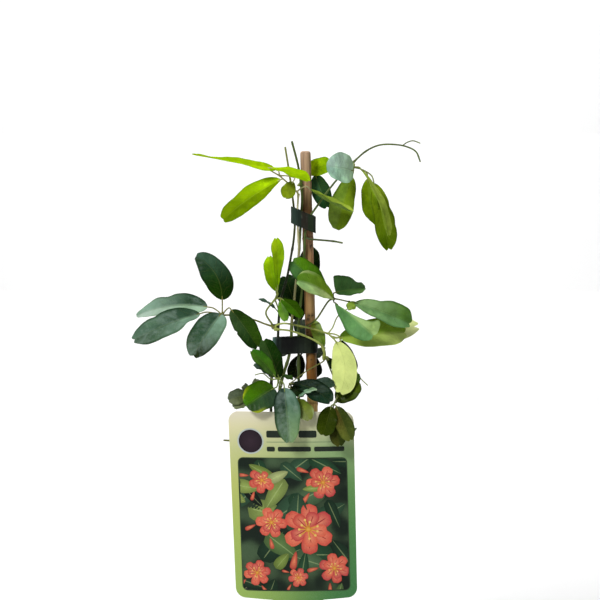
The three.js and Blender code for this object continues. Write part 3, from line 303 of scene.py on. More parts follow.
# Each run of a stem: its radius at its foot and tip, its colour at its foot, half way up and at its tip,
# and its route. The first run is the stem itself and the others are its shoots.
STEMS = [
    dict(name="stem_main", slot="vine_stem", runs=[
        ((1.9, 1), "#2E3A18 #5C6C2A #4A5E1C", [(-13, -6, 84), (-13, -6, 122), (-16, -10, 189),
         (-19, -13, 273), (-20, -13, 318), (-20, -13, 345), (-16, -11, 361), (-12, -9, 374), (-10, -8, 385),
         (-9, -8, 408), (-7, -8, 426), (-4, -7, 453), (-2, -6, 479), (-1, -6, 498), (0, -6, 519),
         (-3, -6, 543), (-9, -6, 567)]),
        ((0.95, 0.85), "#8F8A58 #C2BA8C #C8C294", [(-9, -8, 402), (-8.6, -11, 412), (-7, -12, 426),
         (-5.6, -11.6, 441), (-2.8, -11.6, 466), (-3.4, -13.4, 483), (-4, -14, 498), (-4, -14, 507),
         (-3.2, -13.4, 520.6)])]),
    dict(name="stem_left", slot="vine_stem", runs=[
        ((1.8, 0.85), "#161E0C #222E12 #7C8238", [(-21, 4, 84), (-21, 4, 122), (-23, 2, 186), (-26, -4, 271),
         (-28, -7, 335), (-27, -9, 358), (-22, -11, 386), (-21, -13, 404), (-19, -14, 426),
         (-13.4, -13.4, 446), (-10, -12, 464), (-7.4, -11, 480), (-6.4, -10, 498), (-7.6, -9, 511),
         (-11, -8, 537), (-15, -6, 562)]),
        ((1.6, 1.8), "#222E12 #3A4420 #4A5426", [(-21, -13, 404), (-24, -16, 403), (-26.4, -17.4, 402.6)]),
        ((1, 0.8), "#2C3818 #4A5426 #6A6E36", [(-26.6, -5, 290), (-34, -12, 293), (-48, -19, 299),
         (-70, -21, 301)])]),
    dict(name="stem_right", slot="vine_stem", runs=[
        ((1.8, 0.7), "#22300F #4E6424 #5C6E2C", [(-4, 6, 84), (-4, 6, 122), (-4, 4, 186), (-3, -3, 271),
         (-3, -5, 335), (-3, -5, 385), (-3, -6, 403), (0, -7, 435), (2, -8, 463), (3, -9, 487),
         (5.4, -9, 497), (15, -9, 512), (30, -9, 532), (45, -9, 548), (57, -10, 558.6), (68, -10, 563.6),
         (80, -10, 564.4), (92, -10, 562.6), (101, -10, 558), (105, -10, 549)]),
        ((0.9, 0.8), "#3C4A1C #4A5A24 #5E6E30", [(3, -9, 482), (6, -11, 480.6), (12, -12, 480),
         (29, -12, 478.4), (36, -12, 477)]),
        ((0.6, 0.5), "#5C6E2C #6A7A34 #7A8840", [(89, -10, 563.2), (93, -9, 566), (98.5, -8, 567.6),
         (105, -8, 565.4)])]),
    dict(name="shoot_middle", slot="young_shoot", runs=[
        ((0.8, 0.9), "#98A444 #A9B45C #8E9A3C", [(-24.4, -20.2, 400.8), (-11, -26, 400), (-1, -28, 397),
         (12, -27, 391), (17, -25, 387), (20, -23, 380), (19.6, -21.6, 376), (20, -20.4, 374)])]),
]


# ------------------------------------------------------------------ curves
def smooth(value, low, high):
    """0 below low, 1 above high, and a smooth step between."""
    t = min(max((value - low) / (high - low), 0), 1)
    return t * t * (3 - 2 * t)


def hump(value, width):
    """1 where value is 0, falling smoothly to nothing within about twice the width."""
    return math.exp(-(value / width) ** 2)


def square_to(vector, axis):
    """The unit vector nearest to vector that stands square to axis."""
    return (vector - vector.dot(axis) * axis).normalized()


def polar(x, y, reach, angle):
    """The flat point at a reach and an angle from (x, y)."""
    return x + reach * math.cos(angle), y + reach * math.sin(angle)


def circle(x, y, radius, count):
    return [polar(x, y, radius, TURN * k / count) for k in range(count)]


def spokes(side, other, count):
    """Evenly spread directions in the plane of side and other, each with its number and angle."""
    for i in range(count):
        angle = TURN * i / count
        yield i, angle, math.cos(angle) * side + math.sin(angle) * other


def levels(low, high, corner, turns, parts):
    """Heights of rows up a plate with rounded corners: turns to a corner and parts between them."""
    arc = [math.pi / 2 * k / turns for k in range(turns + 1)]
    return ([low + corner * (1 - math.cos(angle)) for angle in arc]
            + [low + corner + (high - low - 2 * corner) * k / parts for k in range(1, parts + 1)]
            + [high - corner + corner * math.sin(angle) for angle in arc[1:]])


def spline(route, count):
    """count + 1 points, evenly spaced, on a centripetal Catmull-Rom curve through the route."""
    points = [Vector(p) for p in route]
    points = [2 * points[0] - points[1], *points, 2 * points[-1] - points[-2]]
    dense = []
    for p0, p1, p2, p3 in zip(points, points[1:], points[2:], points[3:]):
        t0, t1, t2 = [max((b - a).length, 1e-6) ** 0.5 for a, b in ((p0, p1), (p1, p2), (p2, p3))]
        m1 = ((p1 - p0) / t0 - (p2 - p0) / (t0 + t1) + (p2 - p1) / t1) * t1
        m2 = ((p2 - p1) / t1 - (p3 - p1) / (t1 + t2) + (p3 - p2) / t2) * t1
        for t in [k / 24 for k in range(24)]:
            dense.append((2 * t**3 - 3 * t**2 + 1) * p1 + (t**3 - 2 * t**2 + t) * m1
                         + (-2 * t**3 + 3 * t**2) * p2 + (t**3 - t**2) * m2)
    dense.append(points[-2])
    return resample(dense, count)


def resample(dense, count):
    """count + 1 points at equal steps along a polyline."""
    lengths = [0.0]
    for a, b in zip(dense, dense[1:]):
        lengths.append(lengths[-1] + (b - a).length)
    result, k = [], 0
    for i in range(count + 1):
        target = lengths[-1] * i / count
        while k < len(dense) - 2 and lengths[k + 1] < target:
            k += 1
        span = max(lengths[k + 1] - lengths[k], 1e-9)
        result.append(dense[k].lerp(dense[k + 1], min(max((target - lengths[k]) / span, 0), 1)))
    return result


def route_at(route, z):
    """The spot at height z on a route that climbs."""
    for low, high in zip(route, route[1:]):
        if high[2] > z:
            return Vector(low).lerp(Vector(high), (z - low[2]) / (high[2] - low[2]))


def hull(points):
    """The convex outline of flat points."""
    def chain(items):
        line = []
        for p in items:
            while len(line) > 1 and ((line[-1][0] - line[-2][0]) * (p[1] - line[-2][1])
                                     - (line[-1][1] - line[-2][1]) * (p[0] - line[-2][0])) <= 1e-6:
                line.pop()
            line.append(p)
        return line[:-1]
    points = sorted(points)
    return chain(points) + chain(points[::-1])


# ------------------------------------------------------------------ mesh pieces
class Piece:
    """Gathers one object's faces with a tint, a share of marks and painted light, and surface coordinates at
    each point.
    """

    def __init__(self):
        self.points, self.tints, self.blooms, self.places = [], [], [], []
        self.faces, self.slots = [], []

    def add(self, point, tint=WHITE, bloom=0.0, place=(0.0, 0.0)):
        """Adds a point, given in millimetres, and returns its number."""
        self.points.append(Vector(point) * MM)
        self.tints.append(tint)
        self.blooms.append(bloom)
        self.places.append(place)
        return len(self.points) - 1

    def face(self, *corners, slot=0):
        self.faces.append(corners)
        self.slots.append(slot)

    def sheet(self, rows, closed=False, flip=False, slot=0):
        """Quads between neighbouring rows of points, round each row if it is closed."""
        for pair in zip(rows, rows[1:]):
            a, b = pair[::-1] if flip else pair
            for i in range(len(a) - (not closed)):
                j = (i + 1) % len(a)
                self.face(a[i], a[j], b[j], b[i], slot=slot)

    def fan(self, ring, pole, flip=False, slot=0):
        """Triangles from a ring of points to its pole."""
        for i, corner in enumerate(ring):
            pair = (corner, ring[(i + 1) % len(ring)])
            self.face(*(pair[::-1] if flip else pair), pole, slot=slot)

    def slab(self, upper, lower):
        """A closed plate between two grids of points."""
        self.sheet(upper, flip=True)
        self.sheet(lower)
        edges = [[row[0] for row in rows] + rows[-1][1:-1] + [row[-1] for row in reversed(rows)]
                 + rows[0][-2:0:-1] for rows in (upper, lower)]
        self.sheet(edges, closed=True)

    def tube(self, centres, radii, sides, tint, slot=0):
        """A round tube along centres, rounded off at both ends; tint is one colour or one per centre."""
        tints = tint if isinstance(tint, list) else [tint] * len(centres)
        steps = [(b - a).normalized() for a, b in zip(centres, centres[1:])]
        tangents = [steps[0], *[(a + b).normalized() for a, b in zip(steps, steps[1:])], steps[-1]]
        side = tangents[0].orthogonal().normalized()
        rows = []
        for k, (centre, tangent) in enumerate(zip(centres, tangents)):
            side = square_to(side, tangent)
            rows.append([self.add(centre + radii[k] * out, tints[k], place=(i / sides, k / len(centres)))
                         for i, _, out in spokes(side, tangent.cross(side), sides)])
        self.sheet(rows, closed=True, slot=slot)
        for end, way in ((0, -tangents[0]), (-1, tangents[-1])):
            pole = self.add(centres[end] + 0.5 * radii[end] * way, tints[end])
            self.fan(rows[end], pole, flip=end == 0, slot=slot)

    def lathe(self, profile, sides, colour=WHITE, lump=lambda x, y: 0):
        """Rings of points round the z axis, one for each radius and height of the profile."""
        rows = []
        for radius, z in profile:
            rows.append([self.add((x, y, z + lump(x, y)), colour, place=(i / sides, z / POT["height"]))
                         for i, (x, y) in enumerate(circle(0, 0, radius, sides))])
        self.sheet(rows, closed=True)
        return rows

    def mesh(self, name, materials):
        """A new object of the faces alone."""
        mesh = bpy.data.meshes.new(name)
        mesh.from_pydata(self.points, [], self.faces)
        for material in materials:
            mesh.materials.append(material)
        return linked(name, mesh)

    def finish(self, name, materials, slot, *replaces, sharp=None):
        """Makes the object, which rides on the part's one body and stands in for the solid it replaces."""
        obj = self.mesh(name, materials)
        mesh = obj.data
        mesh.polygons.foreach_set("material_index", self.slots)
        mesh.polygons.foreach_set("use_smooth", [True] * len(self.faces))
        tint = mesh.attributes.new("tint", "FLOAT_COLOR", "POINT")
        tint.data.foreach_set("color", [c for colour in self.tints for c in colour])
        mesh.attributes.new("bloom", "FLOAT", "POINT").data.foreach_set("value", self.blooms)
        places = mesh.uv_layers.new(name="place")
        for loop in mesh.loops:
            places.data[loop.index].uv = self.places[loop.vertex_index]
        if sharp is not None:
            mesh.set_sharp_from_angle(angle=math.radians(sharp))
        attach(obj, "root")
        if replaces:
            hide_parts(*replaces)


# ------------------------------------------------------------------ materials
class Graph:
    """Shorthand for building one material's nodes. Colours may be given as "#rrggbb" codes."""

    def __init__(self, name):
        self.material = bpy.data.materials.new(name)
        self.material.use_nodes = True
        self.tree = self.material.node_tree
        self.shader = self.tree.nodes["Principled BSDF"]

    def node(self, kind, inputs=None, **settings):
        """A new node with its settings, its inputs set or linked by name."""
        node = self.tree.nodes.new("ShaderNode" + kind)
        for key, value in settings.items():
            setattr(node, key, value)
        for key, value in (inputs or {}).items():
            self.set(node.inputs[key], value)
        return node

    def set(self, socket, value):
        if isinstance(value, bpy.types.NodeSocket):
            self.tree.links.new(value, socket)
        else:
            socket.default_value = rgb(value) if isinstance(value, str) else value

    def math(self, operation, *values):
        node = self.node("Math", operation=operation)
        for socket, value in zip(node.inputs, values):
            self.set(socket, value)
        return node.outputs[0]

    def times(self, a, b):
        return self.math("MULTIPLY", a, b)

    def minus(self, a, b):
        return self.math("SUBTRACT", a, b)

    def spread(self, value, reach, start):
        """start where value is 0, and start + reach where it is 1."""
        return self.math("MULTIPLY_ADD", value, reach, start)

    def mix(self, share, a, b, blend="MIX"):
        node = self.node("Mix", data_type="RGBA", blend_type=blend)
        for socket, value in ((node.inputs[0], share), (node.inputs[6], a), (node.inputs[7], b)):
            self.set(socket, value)
        return node.outputs[2]

    def lay(self, colour, mask, share, coat):
        """The colour with a share of the coat laid over it where the mask is 1."""
        return self.mix(self.times(mask, share), colour, coat)

    def scaled(self, colour, *shares):
        """The colour with its red, green and blue multiplied by the shares."""
        return self.mix(1.0, colour, (*shares, 1), "MULTIPLY")

    def steps(self, value, low, high, start=0.0, end=1.0, kind="SMOOTHSTEP"):
        """start where value is under low, end where it is over high."""
        return self.node("MapRange", {"Value": value, "From Min": low, "From Max": high, "To Min": start,
                                      "To Max": end}, interpolation_type=kind).outputs[0]

    def ramp(self, value, places, codes):
        """The colours of the codes at their places along the value."""
        node = self.node("ValToRGB", {"Fac": value})
        elements = node.color_ramp.elements
        while len(elements) < len(places):
            elements.new(0.5)
        for element, place, code in zip(elements, places, codes.split()):
            element.position = place
            element.color = rgb(code)
        return node.outputs["Color"]

    def position(self, stretch=(1, 1, 1)):
        """The point on the part, in metres, scaled by stretch."""
        spot = self.node("TexCoord").outputs["Object"]
        return self.node("Mapping", {"Vector": spot, "Scale": stretch}).outputs[0]

    def noise(self, scale, detail, stretch=(1, 1, 1), roughness=0.55):
        return self.node("TexNoise", {"Vector": self.position(stretch), "Scale": scale, "Detail": detail,
                                      "Roughness": roughness}).outputs["Fac"]

    def patches(self, scale, detail, low, high, stretch=(1, 1, 1)):
        """Soft random patches: 0 where the noise is under low and 1 where it is over high."""
        return self.steps(self.noise(scale, detail, stretch), low, high)

    def tint(self):
        return self.node("Attribute", attribute_name="tint").outputs["Color"]

    def bloom(self):
        return self.node("Attribute", attribute_name="bloom").outputs["Fac"]

    def axes(self, vector):
        return self.node("SeparateXYZ", {"Vector": vector}).outputs

    def place(self):
        """Across and along coordinates of the surface."""
        return self.axes(self.node("UVMap", uv_map="place").outputs[0])[:2]

    def bump(self, height, strength, distance):
        node = self.node("Bump", {"Height": height, "Strength": strength, "Distance": distance})
        self.tree.links.new(node.outputs[0], self.shader.inputs["Normal"])

    def paint(self, colour, roughness, **constants):
        self.set(self.shader.inputs["Base Color"], colour)
        self.set(self.shader.inputs["Roughness"], roughness)
        for key, value in constants.items():
            self.shader.inputs[key.replace("_", " ")].default_value = value
        return self.material


def blade_veins(g, veins):
    """Masks over a blade: how far out from its midrib, the beat of its side veins, and all its veins."""
    across, along = g.place()
    offset = g.minus(across, 0.5)
    out = g.times(g.math("ABSOLUTE", offset), 2.0)
    side = g.times(g.math("GREATER_THAN", offset, 0.0), 0.47)  # the two sides' veins alternate
    wander = g.times(g.noise(120, 2), 0.9)
    climb = g.minus(along, g.times(g.math("POWER", out, 0.8), 0.2))
    count = g.math("ADD", g.times(climb, veins), g.math("ADD", side, wander))
    beat = g.math("ABSOLUTE", g.minus(g.math("FRACT", count), 0.5))
    fade = g.times(g.steps(out, 0.03, 0.2), g.steps(out, 1.0, 0.55))
    side_vein = g.times(g.steps(beat, 0.09, 0.0), fade)
    midrib = g.steps(out, g.spread(along, -0.05, 0.08), 0.0)
    return out, beat, g.math("MAXIMUM", midrib, g.times(side_vein, 0.45))


def blade_material(name, veins, vein_light, roughness, coat, relief, specular, edges, dark, lit):
    """Leaf tissue: the tint of each point, paler veins, patches of painted sheen and a few painted glints.

    veins is how many side veins it has and vein_light how pale they are; edges, dark and lit say how
    strongly its painted shade at the edges, its dark patches and its bright patches of painted light show."""
    g = Graph(name)
    out, beat, lines = blade_veins(g, veins)
    cells = g.node("TexVoronoi", {"Vector": g.position(), "Scale": 620.0}, feature="DISTANCE_TO_EDGE")
    net = g.steps(cells.outputs["Distance"], 0.12, 0.0)

    tint = g.tint()
    colour = g.lay(tint, g.patches(75, 4, 0.36, 0.68), dark, g.scaled(tint, 0.45, 0.52, 0.4))
    colour = g.lay(colour, g.patches(110, 4, 0.5, 0.74), lit, g.scaled(tint, 1.55, 1.5, 1.35))
    # painted sheen: grey-blue reflection laid in patches between the side veins, fading out at the rim
    sheen_patches = g.times(g.steps(g.noise(70, 5, roughness=0.7), 0.42, 0.62), g.steps(beat, 0.1, 0.4, 0.7, 1.0))
    bloom = g.times(g.bloom(), g.times(sheen_patches, g.steps(out, 0.98, 0.7)))
    colour = g.mix(bloom, colour, "#A9BEB4")
    # painted shade: the rim darkens towards the edge
    colour = g.mix(g.steps(out, 0.76, 1.0, 0.0, edges), colour, g.scaled(tint, 0.4, 0.5, 0.35))
    pale = g.mix(0.4, tint, "#D6E26E")
    colour = g.lay(colour, lines, vein_light, pale)
    colour = g.lay(colour, net, 0.04, pale)

    # painted glints: a few small white highlights
    spots = g.node("TexVoronoi", {"Vector": g.position(), "Scale": 140.0}).outputs
    chosen = g.math("GREATER_THAN", g.axes(spots["Color"])[0], 0.93)
    painted_glint = g.times(g.steps(spots["Distance"], 0.13, 0.06), chosen)
    colour = g.lay(colour, painted_glint, 0.75, "#D9E2D0")
    height = g.minus(g.noise(260, 3), g.times(lines, 0.8))
    g.bump(g.minus(height, g.times(net, 0.12)), relief, 0.0006)
    return g.paint(colour, g.spread(g.noise(70, 3), 0.28, roughness - 0.12), Coat_Weight=coat,
                   Coat_Roughness=0.22, Specular_IOR_Level=specular)


def stalk_material(name):
    """Green skin with darker streaks along it and pale freckles."""
    g = Graph(name)
    tint = g.tint()
    streaks = g.patches(420, 3, 0.35, 0.7, (1, 1, 0.12))
    colour = g.lay(tint, streaks, 0.5, g.mix(0.5, tint, "#3A2A14"))
    colour = g.lay(colour, g.patches(1500, 2, 0.66, 0.76), 0.3, "#C8C49A")
    g.bump(g.noise(900, 3, (1, 1, 0.2)), 0.35, 0.0003)
    return g.paint(colour, g.spread(streaks, 0.15, 0.42), Specular_IOR_Level=0.4)


def bamboo_material():
    """Bamboo: tan to brown by height, with fibres, weathered streaks, blots, the knots' dark scars and
    painted shade in its sawn hollow top.
    """
    g = Graph("bamboo")
    level = g.steps(g.axes(g.position())[2], 0.12, 0.56, kind="LINEAR")
    base = g.ramp(level, (0.0, 0.44, 0.5, 0.53, 0.57, 0.62, 0.68, 0.76, 0.81, 0.87, 0.9, 1.0),
                  "#7A5426 #B48A50 #C8A064 #8A5414 #80500F #8A5C26 #9C7440 #B4824E #C2946C #8A5C34 #A8845E"
                  " #CBA888")
    fibres = g.noise(700, 4, (1, 1, 0.03), 0.65)
    broad = g.noise(110, 3, (1, 1, 0.12))
    colour = g.mix(g.steps(fibres, 0.4, 0.7, 0.0, 0.55), base, "#3E2A16")
    colour = g.mix(g.steps(broad, 0.45, 0.75, 0.0, 0.4), colour, "#C7A674")
    blots = g.times(g.patches(160, 4, 0.6, 0.7, (1, 1, 1.6)), g.steps(broad, 0.3, 0.6))
    colour = g.lay(colour, blots, 0.75, "#241910")
    # the knots' and front's dark scars, and painted shade deep in the sawn hollow
    colour = g.mix(g.bloom(), colour, "#1E140C")
    g.bump(g.math("ADD", fibres, g.times(broad, 0.5)), 0.6, 0.0005)
    return g.paint(colour, g.spread(fibres, 0.25, 0.45), Specular_IOR_Level=0.35)


def pot_material():
    """Black recycled plastic, faintly clouded and dusty."""
    g = Graph("pot_plastic")
    cloud = g.patches(45, 4, 0.35, 0.7)
    base = g.lay("#1A1B1D", cloud, 0.6, "#2B2D30")
    base = g.lay(base, g.patches(700, 3, 0.62, 0.8), 0.25, "#8D8F86")
    g.bump(g.noise(900, 3), 0.3, 0.0003)
    return g.paint(base, g.spread(cloud, 0.15, 0.5), Specular_IOR_Level=0.45)


def band_material():
    """Dark green strap plastic in its facets' tones of painted light and shade, with painted light on its
    left front side, chalky where it has weathered, and a fine ribbed grain.
    """
    g = Graph("band_strap")
    tint = g.tint()
    cloud = g.patches(80, 4, 0.35, 0.7, (1, 1, 0.4))
    base = g.lay(tint, cloud, 0.6, g.mix(0.35, tint, "#4A5A50"))
    # painted light: the strap's left front side, which faces the key light, painted paler
    base = g.mix(g.bloom(), base, "#4A655E")
    base = g.lay(base, g.patches(420, 4, 0.62, 0.78, (1, 1, 0.25)), 0.25, "#7D8A80")
    g.bump(g.noise(1300, 3, (1, 1, 0.15)), 0.35, 0.0003)
    return g.paint(base, g.spread(cloud, 0.18, 0.42), Specular_IOR_Level=0.2)


def compost_material():
    """Crumbly compost, each crumb in its own tint."""
    g = Graph("compost")
    tint = g.tint()
    colour = g.mix(g.patches(240, 4, 0.3, 0.75), g.mix(0.6, tint, "#120B07"), tint)
    g.bump(g.noise(900, 5, roughness=0.7), 0.9, 0.001)
    return g.paint(colour, 0.95, Specular_IOR_Level=0.2)


def label_material():
    """The label's plate: a cream top that turns yellow-green on the left and mid green on the right."""
    g = Graph("label_plate")
    across, along = g.place()
    places = (0.0, 0.35, 0.62, 0.8, 0.92, 1.0)
    left = g.ramp(along, places, "#9ABA5A #AAC05C #BEC86C #C9CE8E #E2DDAE #E8E1C8")
    right = g.ramp(along, places, "#3A7C40 #4A8844 #669854 #8EAE74 #CACCA2 #E0DCC2")
    colour = g.mix(g.steps(across, 0.0, 0.92), left, right)
    colour = g.mix(g.steps(g.noise(2600, 2), 0.4, 0.7, 0.0, 0.06), colour, WHITE)
    g.bump(g.noise(1400, 2), 0.08, 0.0002)
    return g.paint(colour, g.spread(g.noise(60, 2), 0.12, 0.4), Specular_IOR_Level=0.15)


def ink_material():
    """Printed ink: each shape's own tint, faintly mottled."""
    g = Graph("label_ink")
    tint = g.tint()
    colour = g.mix(g.steps(g.noise(900, 4), 0.35, 0.7, 0.0, 0.22), tint, g.mix(0.6, tint, BLACK))
    g.bump(g.noise(1400, 2), 0.08, 0.0002)
    return g.paint(colour, 0.42, Specular_IOR_Level=0.12)


# edges sets how dark the painted shade at each kind's rims falls.
BLADES = {
    "mature_leaf": blade_material("mature_blade", veins=7, vein_light=0.14, roughness=0.4, coat=0.03,
                                  relief=0.7, specular=0.02, edges=0.75, dark=0.6, lit=0.5),
    "young_leaf": blade_material("young_blade", veins=8, vein_light=0.2, roughness=0.5, coat=0, relief=0.6,
                                 specular=0, edges=0.25, dark=0.6, lit=0.5),
    "pale_leaf": blade_material("pale_blade", veins=9, vein_light=0.25, roughness=0.55, coat=0, relief=0.6,
                                specular=0, edges=0, dark=0.3, lit=0.15),
}
STALK_SKIN = stalk_material("stalk")
STEM_SKIN = stalk_material("stem_skin")
BAND_SKIN = band_material()


# ------------------------------------------------------------------ leaves
def outline(s, widest, taper, point=LEAFLET["point"]):
    """Half width of a leaflet at s along it, as a share of its greatest half width."""
    if s < widest:
        return max(1 - ((widest - s) / widest) ** taper, 0) ** (1 / taper)
    reach = LEAFLET["share"] * (s - widest) / (1 - widest)
    return (1 - reach ** point) ** (1 / point)


def tip_drop(c, notch):
    """How far a blade's tip falls back at c across it: rounded lobes beside a notch."""
    lobe = 2 * abs(c) - 1
    return (LEAFLET["drop"] if lobe > 0 else notch) * abs(lobe) ** 1.6


class Leaflet:
    """One blade with its stalk, in the same form as its solid, finely divided.

    Each dent in an edge is its side (0 left, 1 right), its place along, its depth and its length."""

    def __init__(self, dice, hub, tint, at, to, width, face, fold=8, arch=2, sway=0, twist=0, widest=0.58,
                 taper=1.6, point=LEAFLET["point"], notch=LEAFLET["notch"], rim=None, wavy=0.035, under=None,
                 dents=()):
        self.hub, self.base, self.tip, self.width = Vector(hub), Vector(at), Vector(to), width
        self.length = (self.tip - self.base).length
        axis = (self.tip - self.base).normalized()
        self.up = square_to(Vector(face), axis)
        self.bend = self.base.lerp(self.tip, 0.5) + 2 * arch * self.up + 2 * sway * axis.cross(self.up)
        self.fold, self.twist = math.radians(fold), math.radians(twist)
        self.widest, self.taper = [v if isinstance(v, tuple) else (v, v) for v in (widest, taper)]
        self.point, self.notch, self.wavy, self.dents = point, notch, wavy, dents
        self.phases = [dice.uniform(0, TURN) for _ in range(6)]
        self.waves = dice.uniform(*BLADE["waves"])
        codes, self.bloom = TINTS[tint]
        self.corners = [rgb(code) for code in codes.split()]
        self.rim, self.under = rim and rgb(rim), under and rgb(under)

    def build(self, piece, stalk):
        """Adds the blade and its stalk, of the stalk's colour, to the piece."""
        columns = [2 * i / (BLADE["columns"] - 1) - 1 for i in range(BLADE["columns"])]
        columns = [math.copysign(abs(c) ** BLADE["column_crowding"], c) for c in columns]
        upper, lower = [], []
        for j in range(BLADE["rows"] + 1):
            s = 1 - (1 - max(j / BLADE["rows"], 0.004)) ** BLADE["row_crowding"]
            frame_there = self.frame(s)
            pairs = [self.add_pair(piece, c, s, *frame_there) for c in columns]
            upper.append([pair[0] for pair in pairs])
            lower.append([pair[1] for pair in pairs])
        piece.slab(upper, lower)
        self.add_stalk(piece, stalk)

    def frame(self, s):
        """The midrib's spot at s along it, with the ways along it, across it and up out of the blade."""
        centre = (1 - s) ** 2 * self.base + 2 * s * (1 - s) * self.bend + s * s * self.tip
        along = ((1 - s) * (self.bend - self.base) + s * (self.tip - self.bend)).normalized()
        normal = square_to(self.up, along)
        normal.rotate(Matrix.Rotation(self.twist * s, 3, along))
        return centre, along, along.cross(normal), normal

    def add_pair(self, piece, c, s, centre, along, across, normal):
        """Adds the upper and the lower point at c across the blade and s along it."""
        x = self.reach(c, s)
        spot = centre - tip_drop(c, self.notch) * self.length * s * s * along
        spot += x * math.cos(self.fold) * across + self.rise(x, c, s) * normal
        groove = BLADE["groove"] * hump(x, BLADE["groove_width"])
        half = (BLADE["rim"] + (BLADE["thick"] - BLADE["rim"]) * (1 - abs(c) ** 3)) / 2
        top = self.tint(c, s)
        back = self.under or mixed(top, UNDERSIDE, UNDERSIDE_SHARE)
        place = ((c + 1) / 2, max(s, 0.021))
        return (piece.add(spot + (half - groove) * normal, top, self.bloom, place),
                piece.add(spot - (half + groove) * normal, back, self.bloom * 0.4, place))

    def reach(self, c, s):
        """How far out from the midrib a point is, with the edge's waves and dents."""
        right = int(c > 0)
        wave = math.sin(TURN * BLADE["edge_waves"] * s + self.phases[right])
        edge = 1 + self.wavy * wave * smooth(s, 0.1, 0.4)
        edge -= sum(depth * hump(s - spot, length) for side, spot, depth, length in self.dents
                    if side == right)
        return c * edge * outline(s, self.widest[right], self.taper[right], self.point) * self.width / 2

    def rise(self, x, c, s):
        """How far a point is lifted by the fold along the midrib, the blade's waves and its puckers."""
        right = int(c > 0)
        wave = BLADE["wave"] * math.sin(TURN * self.waves * s + self.phases[2 + right]) * c * c
        pucker = math.sin(TURN * BLADE["puckers"] * (s - 0.25 * abs(c)) + self.phases[4 + right])
        ripple = wave + BLADE["pucker"] * pucker * smooth(abs(c), 0, 0.4)
        return (math.hypot(x, 0.5) - 0.5) * math.sin(self.fold) + ripple * smooth(s, 0, 0.25)

    def tint(self, c, s):
        """The upper side's colour, painted light and shade included, from its four corners and its rim's, if
        it has one.
        """
        along = smooth(s, 0.15, 0.95)
        left, right = [mixed(base, tip, along) for base, tip in (self.corners[:2], self.corners[2:])]
        colour = mixed(left, right, smooth(c, -0.12, 0.12))
        if not self.rim:
            return colour
        return mixed(colour, self.rim, smooth(abs(c), 0.7, 0.98) * smooth(s, 0.5, 0.95))

    def add_stalk(self, piece, stalk):
        """Adds its own stalk, from the hub to the blade's base and a little along its midrib."""
        lead = (self.bend - self.base).normalized()
        knee = self.base - 0.45 * (self.base - self.hub).length * lead
        route = [self.hub, self.hub.lerp(knee, 0.5), knee.lerp(self.base, 0.35), self.base,
                 self.base + min(3.5, 0.12 * self.length) * lead]
        shares = [k / STALK["steps"] for k in range(STALK["steps"] + 1)]
        radii = [STALK["petiolule"] * (1 + 0.35 * (2 * share - 1) ** 4) * (1 - 0.45 * smooth(share, 0.75, 1))
                 for share in shares]
        piece.tube(spline(route, STALK["steps"]), radii, 8, stalk, slot=1)


AXIS_POINTS = [(point, radius[0]) for item in STEMS for radius, _, route in item["runs"]
               for point in spline(route, 160)]


def rooted(route):
    """The route, begun from inside the nearest stem."""
    start = Vector(route[0])
    root, _ = min(AXIS_POINTS, key=lambda item: (item[0] - start).length - item[1])
    return route if (root - start).length > 6 else [tuple(root.lerp(start, 0.35)), *route]


def compound_leaf(item):
    """One leaf: its stalk, swollen at its foot and at its leaflets, its further stalks and its blades."""
    dice = random.Random(item["name"])
    piece = Piece()
    route, stalk, girth = rooted(item["route"]), rgb(item["stalk"]), item["girth"]
    steps = 10 * len(route)
    radii = [girth * (STALK["petiole"] + (STALK["foot"] - STALK["petiole"]) * math.exp(-k / 4)
                      + 0.22 * hump(steps - k, 3)) for k in range(steps + 1)]
    piece.tube(spline(route, steps), radii, 10, stalk, slot=1)
    for extra in item["stalks"]:
        steps = 10 * len(extra)
        thin = [girth * STALK["petiolule"] * (1 - 0.3 * k / steps) for k in range(steps + 1)]
        piece.tube(spline(extra, steps), thin, 8, stalk, slot=1)
    for spec in item["blades"]:
        Leaflet(dice, **{"hub": item["route"][-1], **spec}).build(piece, stalk)
    piece.finish(item["name"] + "_looks", [BLADES[item["slot"]], STALK_SKIN], item["slot"], item["name"])


# ------------------------------------------------------------------ stems
def stem(item):
    """A stem and its shoots, swollen at each leaf that grows from it and faintly uneven between."""
    piece = Piece()
    feet = [Vector(leaf["route"][0]) for leaf in LEAVES]
    for (thick, thin), codes, route in item["runs"]:
        foot_colour, middle, tip = (rgb(code) for code in codes.split())
        path = spline(route, 60)
        length = sum((b - a).length for a, b in zip(path, path[1:]))
        steps = max(16, int(length / 1.3))
        path = spline(route, steps)
        radii, tints = [], []
        for k, point in enumerate(path):
            share = k / steps
            swelling = min(sum(hump((point - foot).length, STEM["swelling_width"]) for foot in feet), 1)
            gap = ((share * length / STEM["joint_gap"]) % 1 - 0.5) * STEM["joint_gap"]
            joint = STEM["joint"] * hump(gap, STEM["joint_width"])
            uneven = joint + STEM["uneven"] * noise.noise(point * 0.35)
            radii.append((thick + (thin - thick) * share) * (1 + uneven) + STEM["swelling"] * swelling)
            colour = mixed(foot_colour, middle, smooth(share, 0, 0.7))
            colour = mixed(colour, tip, smooth(share, 0.8, 0.95))
            light = 1 + 0.5 * noise.noise(point * 0.05)
            tints.append((*[light * part for part in colour[:3]], 1))
        piece.tube(path, radii, STEM["sides"], tints)
    piece.finish(item["name"] + "_looks", [STEM_SKIN], item["slot"], item["name"])


# ------------------------------------------------------------------ cane
# Dark scars on the cane's front: height, distance right of its middle, half width and half height.
SCARS = [(411.5, 0.5, 3.4, 1.5), (408, -2, 1.8, 2), (401, -2.4, 1.7, 1.8), (474, 2.6, 1.4, 4),
         (364, 1, 1, 0.9)]
